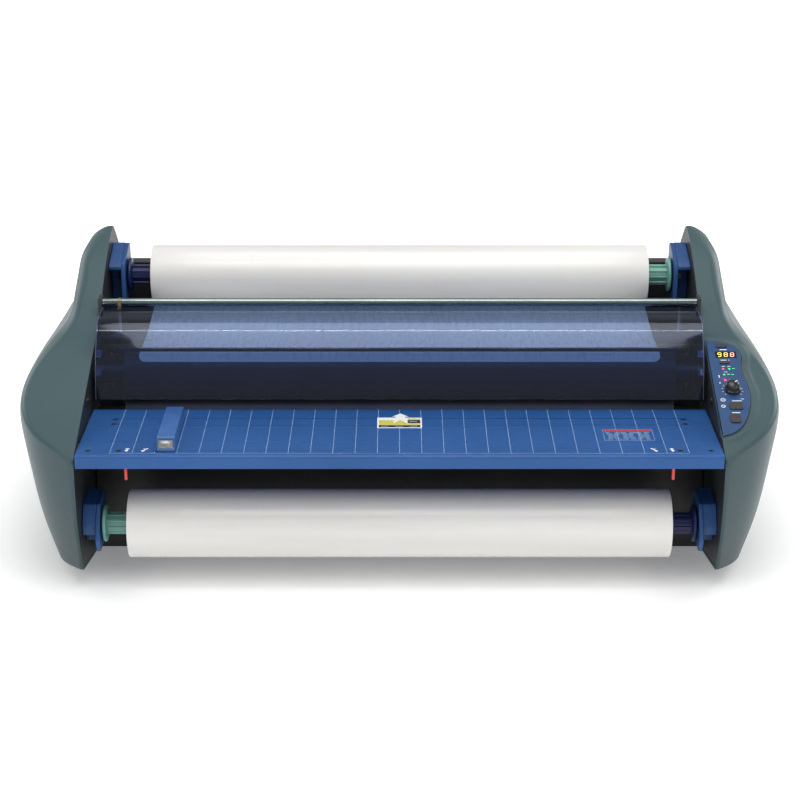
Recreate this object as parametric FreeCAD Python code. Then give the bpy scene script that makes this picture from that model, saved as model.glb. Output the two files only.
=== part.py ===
import FreeCAD, Part
import math
import os

os.makedirs("parts", exist_ok=True)

# Heated roll laminator for 25 inch film. Millimetres.
# X runs to the operator's right, Y runs back from the feed tray's front edge and Z up from
# the table. write_node() moves every piece by -Y_CENTRE, so the files' origin is the middle
# of the footprint.

# ---- overall ----
HALF_INSIDE = 371.0          # inner face of each side frame
HALF_WIDTH = 452.8           # widest point of each side cover
DEPTH = 498.0
Y_CENTRE = DEPTH / 2
FOOT_HEIGHT = 6.0
FRAME_PLATE = 3.0
COVER_WALL = 3.0
RUN_CLEARANCE = 0.05         # radial clearance of shafts in their bearings
FIXED_FIT = 0.02             # radial gap of parts that are fixed on a shaft

# ---- feed tray ----
TRAY_TOP = 182.0
TRAY_DEPTH = 152.4
TRAY_HALF = 369.0
TRAY_SHEET = 1.5
TRAY_LIP = 16.0
TRAY_HEM = 3.0
GUIDE_X = (-277.0, -256.0)
GUIDE_Y = (11.0, 122.0)
GUIDE_HEIGHT = 16.8

# ---- film rolls ----
FILM_HALF = 317.5
CORE_R = 16.0
CORE_BORE_R = 12.7
UPPER_ROLL = (365.0, 289.0, 38.0)    # y, z, radius
LOWER_ROLL = (56.3, 74.8, 40.5)
PLUG_HUB_R = 13.2
PLUG_FLANGE_R = 21.75
PLUG_FLANGE_X = (344.0, 348.0)
SPINDLE_R = 6.0
SPINDLE_END = 362.0
ARM_X = (350.0, 370.7)

# ---- rollers and gears ----
NIP_Z = 184.0
NIP_GAP = 0.4
GEAR_MODULE = 2.0
HEAT_TEETH = 28
PULL_TEETH = 21
TRANSFER_TEETH = 41
PINION_TEETH = 16
HEAT_Y = 200.0
PULL_Y = 330.0
ROLLER_HALF = 335.0
SLEEVE_WALL = 4.0
HEAT_JOURNAL_R = 12.0
HEAT_BORE_R = 8.0
HEATER_R = 5.0
PULL_JOURNAL_R = 10.0
GEAR_X = (383.0, 393.0)
JOURNAL_END_DRIVE = 394.0
JOURNAL_END_FREE = 383.0
BEARING_WALL = 5.0
BEARING_LENGTH = 10.0
BEARING_FLANGE = 4.0

# ---- shield ----
SHIELD_HALF = 366.0
SHIELD_SHEET = 3.0
SHIELD_ROD_R = 5.0
SHIELD_AXIS = (249.0, 287.5)         # y, z

# ---- control panel, in the plane of the right cover's sloping top ----
PANEL_CENTRE = (393.0, 120.0)        # x, y
SLOPE_FOOT = (15.0, 181.5)           # y, z at the two ends of the flat slope
SLOPE_HEAD = (198.0, 251.0)
PANEL_SHEET = 1.6
KEY_GAP = 0.35


def vec(x, y, z):
    return FreeCAD.Vector(x, y, z)


X_AXIS = vec(1, 0, 0)


# ---------------------------------------------------------------- helpers
def write_node(name, *solids):
    shape = solids[0] if len(solids) == 1 else Part.makeCompound(list(solids))
    moved = shape.copy()
    moved.translate(vec(0, -Y_CENTRE, 0))
    moved.exportStep("parts/%s.step" % name)


def block(x, y, z):
    """Box from three (low, high) pairs."""
    return Part.makeBox(x[1] - x[0], y[1] - y[0], z[1] - z[0], vec(x[0], y[0], z[0]))


def rod(x0, x1, y, z, radius):
    """Cylinder along X."""
    return Part.makeCylinder(radius, x1 - x0, vec(x0, y, z), X_AXIS)


def tube(x0, x1, y, z, outer, inner):
    return rod(x0, x1, y, z, outer).cut(rod(x0 - 1, x1 + 1, y, z, inner))


def one(shape):
    """The single solid of a boolean result."""
    return max(shape.Solids, key=lambda solid: solid.Volume)


def joined(first, *rest):
    result = first
    for other in rest:
        result = result.fuse(other)
    return one(result.removeSplitter())


def profile(points, x0, x1):
    """Straight-sided (y, z) outline, extruded along X."""
    corners = [vec(x0, y, z) for y, z in points]
    wire = Part.makePolygon(corners + corners[:1])
    return Part.Face(wire).extrude(vec(x1 - x0, 0, 0))


def rounded_profile(points, x0, x1, radius):
    """The same, with every edge along X rounded."""
    solid = profile(points, x0, x1)
    along = [edge for edge in solid.Edges if abs(edge.tangentAt(edge.FirstParameter).x) > 0.99]
    return solid.makeFillet(radius, along)


def mirrored(shape):
    return one(shape.mirror(vec(0, 0, 0), X_AXIS))


def spline(points):
    curve = Part.BSplineCurve()
    curve.interpolate(points)
    return curve.toShape()


def line(a, b):
    return Part.makeLine(a, b)


# ---------------------------------------------------------------- side covers and frames
# Widest half-width and front edge of the cover at rising heights: (z, half-width, front y).
COVER_LEVELS = (
    (-10.0, 413.0, 38.0),
    (25.0, 423.5, 27.0),
    (60.0, 431.5, 12.0),
    (95.0, 437.5, 1.5),
    (130.0, 442.5, -1.5),
    (165.0, 449.0, -1.0),
    (195.0, HALF_WIDTH + 1.7, 2.0),
    (219.0, HALF_WIDTH - 2.8, 3.0),
    (239.0, 439.0, 3.0),
    (256.0, 418.0, 3.0),
    (270.0, 408.5, 3.0),
    (287.0, 410.5, 3.0),
    (308.0, 408.5, 3.0),
    (326.0, 410.0, 3.0),
    (340.0, 392.0, 3.0),
    (356.0, 364.5, 3.0),
)
# Plan curve of the cover's nose: share of the half-width, distance behind the front edge.
NOSE_CURVE = ((-0.17, -10.0), (0.0, 0.0), (0.2, 12.0), (0.4, 25.0), (0.6, 40.0), (0.79, 62.0),
              (0.93, 92.0), (1.0, 130.0), (1.0, 180.0), (1.0, 250.0), (0.9, 350.0), (0.88, 540.0))


def clamped_knots(count, degree):
    """Knots and multiplicities that make a spline start and end on its outer poles."""
    spans = count - degree
    knots = [float(index) for index in range(spans + 1)]
    inner = [1] * (spans - 1)
    return knots, [degree + 1] + inner + [degree + 1]


def smooth_face(rows):
    """Cubic surface drawn towards a grid of poles."""
    degree = 3
    row_knots, row_mults = clamped_knots(len(rows), degree)
    column_knots, column_mults = clamped_knots(len(rows[0]), degree)
    surface = Part.BSplineSurface()
    surface.buildFromPolesMultsKnots(rows, row_mults, column_mults, row_knots, column_knots,
                                     False, False, degree, degree)
    return surface.toShape()


COVER_REACH = HALF_WIDTH - HALF_INSIDE + 20


def outer_wall(inset):
    """The cover's outer surface, one curved face over every height."""
    rows = []
    for z, half_width, front in COVER_LEVELS:
        reach = half_width - inset - HALF_INSIDE
        rows.append([vec(HALF_INSIDE + share * reach, front + inset + back, z)
                     for share, back in NOSE_CURVE])
    return smooth_face(rows)


def side_outline(x):
    """The cover's outline seen from the side, open towards the front."""
    front = -20.0
    rise = (SLOPE_HEAD[1] - SLOPE_FOOT[1]) / (SLOPE_HEAD[0] - SLOPE_FOOT[0])
    nose_top = vec(x, front, SLOPE_FOOT[1] - (SLOPE_FOOT[0] - front) * rise)
    toe = vec(x, front, 35.6)
    heel = vec(x, 131.0, FOOT_HEIGHT)
    tail = vec(x, 476.0, FOOT_HEIGHT)
    head = vec(x, *SLOPE_HEAD)
    crest = vec(x, 398.0, 346.0)
    back = spline([tail, vec(x, DEPTH - 1.8, 105), vec(x, 487, 225), vec(x, 436, 315), crest])
    top = spline([crest, vec(x, 354, 334), vec(x, 291, 301), vec(x, 234, 266), head])
    return Part.Wire([line(toe, heel), line(heel, tail), back, top, line(head, nose_top),
                      line(nose_top, toe)])


def side_face(x, inset):
    """The side outline as a face, shrunk by inset, with plain splines for its edges."""
    face = Part.Face(side_outline(x))
    return face.makeOffset2D(-inset).toNurbs().Faces[0] if inset else face


def cover_form(inset, inner_x, reach):
    """Solid form of the right cover from inner_x outwards, shrunk by inset."""
    body = outer_wall(inset).extrude(vec(-2 * COVER_REACH, 0, 0))
    outline = side_face(inner_x, inset)
    return one(outline.extrude(vec(reach, 0, 0)).common(body))


def side_cover():
    outer = cover_form(0, HALF_INSIDE, COVER_REACH)
    hollow = cover_form(COVER_WALL, HALF_INSIDE - 1, COVER_REACH)
    return one(outer.cut(hollow))


def frame_plate():
    """Steel plate that fills the cover's open side, inside its rim."""
    return cover_form(COVER_WALL + 0.5, HALF_INSIDE, FRAME_PLATE)


# ---------------------------------------------------------------- gears
def involute_angle(base_r, radius):
    pressure = math.acos(min(1.0, base_r / radius))
    return math.tan(pressure) - pressure


def gear_form(teeth, y, z, phase, x0, x1):
    """Spur gear about an X axis with a tooth centred at angle phase from +Y towards +Z."""
    pitch_r = GEAR_MODULE * teeth / 2
    base_r = pitch_r * math.cos(math.radians(20))
    root_r = pitch_r - 1.2 * GEAR_MODULE
    tip_r = pitch_r + 0.85 * GEAR_MODULE
    start_r = max(root_r, base_r)
    backlash = 0.12 / pitch_r
    half_pitch = math.pi / (2 * teeth) - backlash

    def flank(radius):
        return half_pitch + involute_angle(base_r, pitch_r) - involute_angle(base_r, radius)

    steps = (root_r, start_r, (start_r + tip_r) / 2, tip_r)
    corners = []
    for tooth in range(teeth):
        middle = phase + 2 * math.pi * tooth / teeth
        rising = [(radius, middle - flank(max(radius, base_r))) for radius in steps]
        falling = [(radius, middle + flank(max(radius, base_r))) for radius in reversed(steps)]
        for radius, angle in rising + falling:
            point = vec(x0, y + radius * math.cos(angle), z + radius * math.sin(angle))
            if not corners or point.distanceToPoint(corners[-1]) > 0.02:
                corners.append(point)
    wire = Part.makePolygon(corners + corners[:1])
    return Part.Face(wire).extrude(vec(x1 - x0, 0, 0))


def meshed_phase(centre, teeth, phase, other, other_teeth):
    """Phase that puts the other gear in mesh with a gear at centre."""
    towards = math.atan2(other[1] - centre[1], other[0] - centre[0])
    turned = (towards - phase) * teeth / (2 * math.pi)
    return towards + math.pi - (0.5 - turned) * 2 * math.pi / other_teeth


def lower_meeting(first, first_r, second, second_r):
    """Centre at the two distances from both points, on the lower side."""
    dy = second[0] - first[0]
    dz = second[1] - first[1]
    apart = math.hypot(dy, dz)
    along = (apart ** 2 + first_r ** 2 - second_r ** 2) / (2 * apart)
    off = math.sqrt(first_r ** 2 - along ** 2)
    return (first[0] + along * dy / apart + off * dz / apart,
            first[1] + along * dz / apart - off * dy / apart)


HEAT_R = GEAR_MODULE * HEAT_TEETH / 2
PULL_R = GEAR_MODULE * PULL_TEETH / 2
TRANSFER_R = GEAR_MODULE * TRANSFER_TEETH / 2
PINION_R = GEAR_MODULE * PINION_TEETH / 2
UPPER_HEAT = (HEAT_Y, NIP_Z + HEAT_R)
LOWER_HEAT = (HEAT_Y, NIP_Z - HEAT_R)
UPPER_PULL = (PULL_Y, NIP_Z + PULL_R)
LOWER_PULL = (PULL_Y, NIP_Z - PULL_R)
TRANSFER = lower_meeting(LOWER_HEAT, HEAT_R + TRANSFER_R, LOWER_PULL, PULL_R + TRANSFER_R)
PINION = (TRANSFER[0], TRANSFER[1] - TRANSFER_R - PINION_R)
STUD_R = 6.0
MOTOR_SHAFT_R = 4.0


def gear(teeth, centre, phase, bore_r):
    x0, x1 = -GEAR_X[1], -GEAR_X[0]
    blank = gear_form(teeth, centre[0], centre[1], phase, x0, x1)
    return one(blank.cut(rod(x0 - 1, x1 + 1, centre[0], centre[1], bore_r)))


def gears():
    """All gears, each in mesh with the one before it."""
    transfer_phase = 0.0
    lower_heat = meshed_phase(TRANSFER, TRANSFER_TEETH, transfer_phase, LOWER_HEAT, HEAT_TEETH)
    upper_heat = meshed_phase(LOWER_HEAT, HEAT_TEETH, lower_heat, UPPER_HEAT, HEAT_TEETH)
    lower_pull = meshed_phase(TRANSFER, TRANSFER_TEETH, transfer_phase, LOWER_PULL, PULL_TEETH)
    upper_pull = meshed_phase(LOWER_PULL, PULL_TEETH, lower_pull, UPPER_PULL, PULL_TEETH)
    pinion = meshed_phase(TRANSFER, TRANSFER_TEETH, transfer_phase, PINION, PINION_TEETH)
    write_node("transfer_gear", gear(TRANSFER_TEETH, TRANSFER, transfer_phase,
                                     STUD_R + RUN_CLEARANCE))
    write_node("lower_heat_gear", gear(HEAT_TEETH, LOWER_HEAT, lower_heat, HEAT_JOURNAL_R))
    write_node("upper_heat_gear", gear(HEAT_TEETH, UPPER_HEAT, upper_heat, HEAT_JOURNAL_R))
    write_node("lower_pull_gear", gear(PULL_TEETH, LOWER_PULL, lower_pull,
                                      PULL_JOURNAL_R + FIXED_FIT))
    write_node("upper_pull_gear", gear(PULL_TEETH, UPPER_PULL, upper_pull,
                                      PULL_JOURNAL_R + FIXED_FIT))
    teeth = gear_form(PINION_TEETH, PINION[0], PINION[1], pinion, -GEAR_X[1], -GEAR_X[0])
    shaft = rod(-GEAR_X[1], -350, PINION[0], PINION[1], MOTOR_SHAFT_R)
    write_node("motor_pinion", joined(teeth, shaft))


# ---------------------------------------------------------------- rollers
def heat_roller(name, centre):
    radius = HEAT_R - NIP_GAP / 2
    y, z = centre
    shell = tube(-ROLLER_HALF, ROLLER_HALF, y, z, radius - SLEEVE_WALL, radius - SLEEVE_WALL - 4)
    collar = radius - SLEEVE_WALL - 2
    caps = [tube(-ROLLER_HALF, -ROLLER_HALF + 8, y, z, collar, HEAT_BORE_R),
            tube(ROLLER_HALF - 8, ROLLER_HALF, y, z, collar, HEAT_BORE_R),
            tube(-JOURNAL_END_DRIVE, -ROLLER_HALF, y, z, HEAT_JOURNAL_R, HEAT_BORE_R),
            tube(ROLLER_HALF, JOURNAL_END_FREE, y, z, HEAT_JOURNAL_R, HEAT_BORE_R)]
    write_node(name + "_roller", joined(shell, *caps))
    write_node(name + "_sleeve", tube(-ROLLER_HALF, ROLLER_HALF, y, z, radius,
                                      radius - SLEEVE_WALL))


def pull_roller(name, centre):
    """Shaft with a rubber covering bonded to it."""
    radius = PULL_R - NIP_GAP / 2
    y, z = centre
    write_node(name + "_roller", joined(rod(-JOURNAL_END_DRIVE, JOURNAL_END_FREE, y, z,
                                            PULL_JOURNAL_R),
                                        rod(-ROLLER_HALF, ROLLER_HALF, y, z, radius)))


def bearing(centre, journal_r, side):
    y, z = centre
    outer = journal_r + BEARING_WALL
    start = HALF_INSIDE
    barrel = tube(start, start + BEARING_LENGTH, y, z, outer, journal_r + RUN_CLEARANCE)
    plate_face = start + FRAME_PLATE
    flange = tube(plate_face, plate_face + 3, y, z, outer + BEARING_FLANGE,
                  journal_r + RUN_CLEARANCE)
    bush = joined(barrel, flange)
    return bush if side > 0 else mirrored(bush)


ROLLER_SEATS = ((UPPER_HEAT, HEAT_JOURNAL_R), (LOWER_HEAT, HEAT_JOURNAL_R),
                (UPPER_PULL, PULL_JOURNAL_R), (LOWER_PULL, PULL_JOURNAL_R))


def rollers():
    heat_roller("upper_heat", UPPER_HEAT)
    heat_roller("lower_heat", LOWER_HEAT)
    pull_roller("upper_pull", UPPER_PULL)
    pull_roller("lower_pull", LOWER_PULL)
    bushes = [bearing(seat, radius, side) for seat, radius in ROLLER_SEATS for side in (-1, 1)]
    write_node("roller_bearings", *bushes)


HEATER_ENDS = (-396.0, 387.0)
HOLDER = 9.0


def tube_heaters():
    """A heater tube through each hollow roller, held at both ends off the frames."""
    solids = []
    for y, z in (UPPER_HEAT, LOWER_HEAT):
        solids.append(rod(HEATER_ENDS[0], HEATER_ENDS[1], y, z, HEATER_R))
        foot_z = (z - HOLDER, z - HOLDER + 5) if z < NIP_Z else (z + HOLDER - 5, z + HOLDER)
        foot_y = (y - 36, y - HOLDER)
        for start, end, foot in ((HEATER_ENDS[0] - 2, HEATER_ENDS[0], -HALF_INSIDE - FRAME_PLATE),
                                 (HEATER_ENDS[1], HEATER_ENDS[1] + 2, HALF_INSIDE + FRAME_PLATE)):
            plate = block((start, end), (y - HOLDER, y + HOLDER), (z - HOLDER, z + HOLDER))
            strap = block((start, end), foot_y, foot_z)
            post = block((min(start, foot), max(end, foot)), (foot_y[0] - 3, foot_y[0]), foot_z)
            solids.append(joined(plate, strap, post))
    return solids


# ---------------------------------------------------------------- film rolls
def roll_plug(centre, side):
    y, z = centre
    hub_x = (FILM_HALF, PLUG_FLANGE_X[0])
    insert = rod(FILM_HALF - 32, FILM_HALF, y, z, CORE_BORE_R - 0.1)
    hub = rod(hub_x[0], hub_x[1], y, z, PLUG_HUB_R)
    groove_count = 8
    for index in range(groove_count):
        angle = 2 * math.pi * index / groove_count
        gy = y + PLUG_HUB_R * math.cos(angle)
        gz = z + PLUG_HUB_R * math.sin(angle)
        hub = hub.cut(rod(hub_x[0] + 2, hub_x[1] + 1, gy, gz, 2.6))
    flange = rod(PLUG_FLANGE_X[0], PLUG_FLANGE_X[1], y, z, PLUG_FLANGE_R)
    rim = [edge for edge in flange.Edges if edge.Closed]
    flange = flange.makeFillet(1.5, rim)
    spindle = rod(PLUG_FLANGE_X[1], SPINDLE_END, y, z, SPINDLE_R)
    plug = joined(insert, hub, flange, spindle)
    return plug if side > 0 else mirrored(plug)


def film_roll(name, place):
    y, z, radius = place
    film = tube(-FILM_HALF, FILM_HALF, y, z, radius, CORE_R)
    core = tube(-FILM_HALF, FILM_HALF, y, z, CORE_R, CORE_BORE_R)
    write_node(name + "_film", film)
    write_node(name + "_core", core)
    write_node(name + "_left_plug", roll_plug((y, z), -1))
    write_node(name + "_right_plug", roll_plug((y, z), 1))


UPPER_ARM_OUTLINE = ((335, 258), (335, 309), (390, 325.5), (399, 320), (399, 258))
LOWER_ARM_OUTLINE = ((23.5, 66), (46, 103), (86, 107), (98, 84), (90, 50), (32, 48))


def roll_arm(outline, centre, side):
    arm = rounded_profile(outline, ARM_X[0], ARM_X[1], 3)
    arm = arm.cut(rod(ARM_X[0] - 1, SPINDLE_END + 2, centre[0], centre[1],
                      SPINDLE_R + RUN_CLEARANCE))
    arm = one(arm)
    return arm if side > 0 else mirrored(arm)


def roll_arms():
    for side, side_name in ((-1, "left"), (1, "right")):
        write_node("upper_%s_roll_arm" % side_name,
                   roll_arm(UPPER_ARM_OUTLINE, UPPER_ROLL, side))
        write_node("lower_%s_roll_arm" % side_name,
                   roll_arm(LOWER_ARM_OUTLINE, LOWER_ROLL, side))


# ---------------------------------------------------------------- tray and guide
TRAY_HOLES = ((338.0, 119.0), (338.0, 103.0), (356.0, 16.4), (321.0, 16.4))
TRAY_SEAT_R = 3.2
EMBOSS_Y = (44.0, 91.0)


def feed_tray():
    """Folded sheet with a rounded front lip, a hem under it and a rear stiffening flange."""
    top = TRAY_TOP
    sheet = TRAY_SHEET
    bend = 4.0
    hem = TRAY_HEM
    foot = top - TRAY_LIP
    x0, x1 = -TRAY_HALF, TRAY_HALF
    outline = [
        line(vec(x0, TRAY_DEPTH, top), vec(x0, bend, top)),
        Part.Arc(vec(x0, bend, top), vec(x0, bend * 0.293, top - bend * 0.293),
                 vec(x0, 0, top - bend)).toShape(),
        line(vec(x0, 0, top - bend), vec(x0, 0, foot)),
        line(vec(x0, 0, foot), vec(x0, hem, foot)),
        line(vec(x0, hem, foot), vec(x0, hem, foot + 6)),
        line(vec(x0, hem, foot + 6), vec(x0, sheet, foot + 6)),
        line(vec(x0, sheet, foot + 6), vec(x0, sheet, top - bend)),
        Part.Arc(vec(x0, sheet, top - bend), vec(x0, bend - 1.77, top - sheet - 0.73),
                 vec(x0, bend, top - sheet)).toShape(),
        line(vec(x0, bend, top - sheet), vec(x0, TRAY_DEPTH, top - sheet)),
        line(vec(x0, TRAY_DEPTH, top - sheet), vec(x0, TRAY_DEPTH, top)),
    ]
    tray = Part.Face(Part.Wire(outline)).extrude(vec(x1 - x0, 0, 0))
    flange = block((-350, 350), (TRAY_DEPTH - sheet, TRAY_DEPTH), (top - 10, top - sheet))
    tray = tray.fuse(flange)
    for y in EMBOSS_Y:
        tray = tray.cut(block((x0 - 1, x1 + 1), (y - 0.6, y + 0.6), (top - 0.5, top + 1)))
    for x, y in TRAY_HOLES:
        for side in (-1, 1):
            hole = Part.makeCylinder(1.7, 4, vec(side * x, y, top - 3))
            seat = Part.makeCylinder(TRAY_SEAT_R, 4, vec(side * x, y, top - 0.9))
            tray = tray.cut(hole).cut(seat)
    return one(tray)


def film_markers():
    """Red tabs under the tray's lip that show where the film's edges run."""
    solids = []
    for side in (-1, 1):
        x = side * 312.0
        tab = block((x - 1.5, x + 1.5), (TRAY_HEM, TRAY_HEM + 4), (TRAY_TOP - 31, TRAY_TOP - 10))
        solids.append(tab)
    return solids


def edge_guide():
    x0, x1 = GUIDE_X
    y0, y1 = GUIDE_Y
    base = TRAY_TOP + 0.1
    top = base + GUIDE_HEIGHT
    bar = block((x0, x1), (y0, y1), (base, top))
    upper = [edge for edge in bar.Edges if all(v.Z > top - 0.1 for v in edge.Vertexes)]
    bar = bar.makeFillet(2.0, upper)
    pinch = profile([(y0 - 1, base + 4), (y0 + 5, top + 1), (y0 - 1, top + 1)], x0 - 1, x1 + 1)
    return one(bar.cut(pinch))


# ---------------------------------------------------------------- shield
def shield_sheet():
    """Clear cover bent down in front of the heat rollers, with a groove that seats its rod."""
    y, z = SHIELD_AXIS
    t = SHIELD_SHEET
    x0, x1 = -SHIELD_HALF, SHIELD_HALF
    back = vec(x0, y + 2.5, 283.4)
    back_under = vec(x0, y + 2.5, 283.4 - t)
    crease = vec(x0, 202, 281.2)
    crease_under = vec(x0, 202.3, 281.2 - t)
    brow = vec(x0, 162, 240)
    front = vec(x0, 150, 195)
    front_under = vec(x0, 150 + t, 194.6)
    bend = spline([crease, vec(x0, 189, 278.4), vec(x0, 180.5, 269), brow, front])
    inner_bend = spline([front_under, vec(x0, 162 + t, 239.2), vec(x0, 183.2, 267.5),
                         vec(x0, 190.4, 275.7), crease_under])
    sheet = Part.Face(Part.Wire([line(back, crease), bend, line(front, front_under), inner_bend,
                                 line(crease_under, back_under), line(back_under, back)]))
    sheet = sheet.extrude(vec(x1 - x0, 0, 0))
    return one(sheet.cut(rod(x0 - 1, x1 + 1, y, z, SHIELD_ROD_R + FIXED_FIT)))


def shield_parts():
    y, z = SHIELD_AXIS
    write_node("heat_shield", shield_sheet())
    write_node("shield_rod", rod(-SHIELD_HALF - 4, SHIELD_HALF + 4, y, z, SHIELD_ROD_R))


def hinge_bracket(side):
    """Block on the side frame with the bore that carries the shield's rod."""
    y, z = SHIELD_AXIS
    x = (SHIELD_HALF + 0.8, HALF_INSIDE)
    ear = profile([(y - 9, z - 26), (y + 9, z - 26), (y + 9, z + 7), (y - 9, z + 7)], *x)
    ear = one(ear.cut(rod(x[0] - 1, x[1] + 1, y, z, SHIELD_ROD_R + RUN_CLEARANCE)))
    return ear if side > 0 else mirrored(ear)


# ---------------------------------------------------------------- chassis
PAN_Y = (142.0, 474.0)
PAN_SHEET = 2.0
PAN_WALL = 34.0
HALF_SPAN = HALF_INSIDE - 0.3


def base_pan():
    floor = FOOT_HEIGHT
    x = (-HALF_SPAN, HALF_SPAN)
    outer = block(x, PAN_Y, (floor, floor + PAN_WALL))
    inside = block((x[0] + PAN_SHEET, x[1] - PAN_SHEET),
                   (PAN_Y[0] + PAN_SHEET, PAN_Y[1] - PAN_SHEET), (floor + PAN_SHEET, 100))
    return one(outer.cut(inside))


def front_lower_panel():
    y = PAN_Y[0] + PAN_SHEET
    low = FOOT_HEIGHT + PAN_SHEET
    sheet = block((-HALF_SPAN + 2, HALF_SPAN - 2), (y, y + 1.5), (low, 118))
    fold = block((-HALF_SPAN + 2, HALF_SPAN - 2), (y, y + 14), (116.5, 118))
    return joined(sheet, fold)


REAR_Y = PAN_Y[1] - PAN_SHEET
FAN_X = 150.0
FAN_Z = 100.0
FAN_SIZE = 80.0
INLET_X = 296.0
INLET_Z = 78.0


def rear_panel():
    """Lower rear sheet below the film's exit, with fan openings and a cut-out for the inlet."""
    sheet = block((-HALF_SPAN + 2, HALF_SPAN - 2), (REAR_Y - 1.5, REAR_Y), (8.0, 164))
    shelf = block((-HALF_SPAN + 2, HALF_SPAN - 2), (REAR_Y - 60, REAR_Y), (164, 165.5))
    panel = joined(sheet, shelf)
    slot_count = 9
    for side in (-1, 1):
        for index in range(slot_count):
            z = FAN_Z - 32 + index * 8
            half = math.sqrt(37 ** 2 - (z - FAN_Z) ** 2)
            panel = panel.cut(block((side * FAN_X - half, side * FAN_X + half),
                                    (REAR_Y - 3, REAR_Y + 3), (z - 2, z + 2)))
    window = block((INLET_X - 24.5, INLET_X + 24.5), (REAR_Y - 3, REAR_Y + 3),
                   (INLET_Z - 14.5, INLET_Z + 14.5))
    return one(panel.cut(window))


def rear_bridge():
    """Folded cross piece behind the upper film roll, above the film's exit."""
    x = (-HALF_SPAN + 2, HALF_SPAN - 2)
    sheet = 1.5
    outer = [(412, 205), (412, 292), (440, 290), (468, 244), (472, 205)]
    inner = [(412 + sheet, 203), (412 + sheet, 292 - sheet), (439.2, 290 - sheet),
             (466.4, 243.6), (472 - sheet, 203)]
    return one(profile(outer, *x).cut(profile(inner, x[0] - 1, x[1] + 1)))


TIE_RODS = ((230.0, 52.0), (430.0, 60.0), (300.0, 226.0))
IDLERS = ((120.0, 136.0), (270.0, 232.0))
CROSS_ROD_R = 6.0


def cross_rods():
    """Tie rods between the frames, and the two bars that the film webs slide over."""
    return [rod(-HALF_SPAN, HALF_SPAN, y, z, CROSS_ROD_R) for y, z in TIE_RODS + IDLERS]


def tray_ledges():
    """Ledges bent in from the frame under the tray's ends."""
    return [block((HALF_INSIDE - 11, HALF_INSIDE), (y, y + 24), (TRAY_TOP - 3.5, TRAY_TOP - 1.5))
            for y in (20.0, 110.0)]


def gear_stud():
    """Stud riveted to the frame's outer face, with a shoulder behind the transfer gear."""
    y, z = TRANSFER
    plate_face = HALF_INSIDE + FRAME_PLATE
    return [rod(plate_face, GEAR_X[1] + 1, y, z, STUD_R),
            rod(plate_face, GEAR_X[0] - 0.4, y, z, STUD_R + 4)]


def side_frame(side):
    """Right-hand side frame, or its mirror image with the gear train's stud."""
    plate = frame_plate()
    for (y, z), radius in ROLLER_SEATS:
        plate = plate.cut(rod(HALF_INSIDE - 1, HALF_INSIDE + 9, y, z, radius + BEARING_WALL))
    if side < 0:
        plate = plate.cut(rod(HALF_INSIDE - 1, HALF_INSIDE + 9, PINION[0], PINION[1],
                              MOTOR_SHAFT_R + 2))
        plate = joined(plate, *gear_stud())
    plate = joined(plate, *tray_ledges())
    return plate if side > 0 else mirrored(plate)


def rubber_feet():
    feet = []
    for x in (-330.0, 330.0):
        for y in (172.0, 446.0):
            foot = Part.makeCone(12, 14, FOOT_HEIGHT, vec(x, y, 0))
            feet.append(foot)
    return feet


def frame_screws():
    """Pan-head screws on the inner faces of the frames."""
    solids = []
    places = ((60.0, 160.0), (120.0, 205.0), (252.0, 240.0), (330.0, 240.0), (350.0, 90.0))
    for y, z in places:
        for side in (-1, 1):
            head = rod(HALF_INSIDE - 2.2, HALF_INSIDE, y, z, 3.6)
            solids.append(head if side > 0 else mirrored(head))
    return solids


# ---------------------------------------------------------------- drive and power
def drive_motor():
    y, z = PINION
    gearbox = block((-HALF_INSIDE, -332), (y - 30, y + 30), (z - 30, z + 30))
    can = rod(-332, -262, y, z - 4, 27)
    cap = rod(-262, -256, y, z - 4, 12)
    motor = joined(gearbox, can, cap)
    return one(motor.cut(rod(-HALF_INSIDE - 1, -349, y, z, MOTOR_SHAFT_R + RUN_CLEARANCE)))


def fan_frames():
    solids = []
    half = FAN_SIZE / 2
    y = (REAR_Y - 1.5 - 25, REAR_Y - 1.5)
    for side in (-1, 1):
        x = side * FAN_X
        body = block((x - half, x + half), y, (FAN_Z - half, FAN_Z + half))
        bore = Part.makeCylinder(38, 23, vec(x, y[0] - 1, FAN_Z), vec(0, 1, 0))
        web_bore = Part.makeCylinder(38, 5, vec(x, y[1] - 4, FAN_Z), vec(0, 1, 0))
        hub = Part.makeCylinder(15, 4, vec(x, y[1] - 4, FAN_Z), vec(0, 1, 0))
        struts = block((x - 39, x + 39), (y[1] - 4, y[1]), (FAN_Z - 2, FAN_Z + 2))
        pin = Part.makeCylinder(1.5, 14, vec(x, y[1] - 16, FAN_Z), vec(0, 1, 0))
        frame = body.cut(bore).cut(web_bore)
        solids.append(joined(frame, hub, struts, pin))
    return solids


def fan_rotor(side):
    x = side * FAN_X
    front = REAR_Y - 1.5 - 23
    hub = Part.makeCylinder(14, 14, vec(x, front, FAN_Z), vec(0, 1, 0))
    blades = []
    blade_count = 7
    for index in range(blade_count):
        blade = block((-5, 5), (-0.8, 0.8), (12, 36))
        blade.rotate(vec(0, 0, 0), vec(0, 0, 1), 38)
        blade.rotate(vec(0, 0, 0), vec(0, 1, 0), 360 * index / blade_count)
        blade.translate(vec(x, front + 7, FAN_Z))
        blades.append(blade)
    rotor = joined(hub, *blades)
    bore = Part.makeCylinder(1.5 + RUN_CLEARANCE, 9, vec(x, front + 6, FAN_Z), vec(0, 1, 0))
    return one(rotor.cut(bore))


ROCKER_X = INLET_X + 14.0
ROCKER_TILT = 8.0


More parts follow.
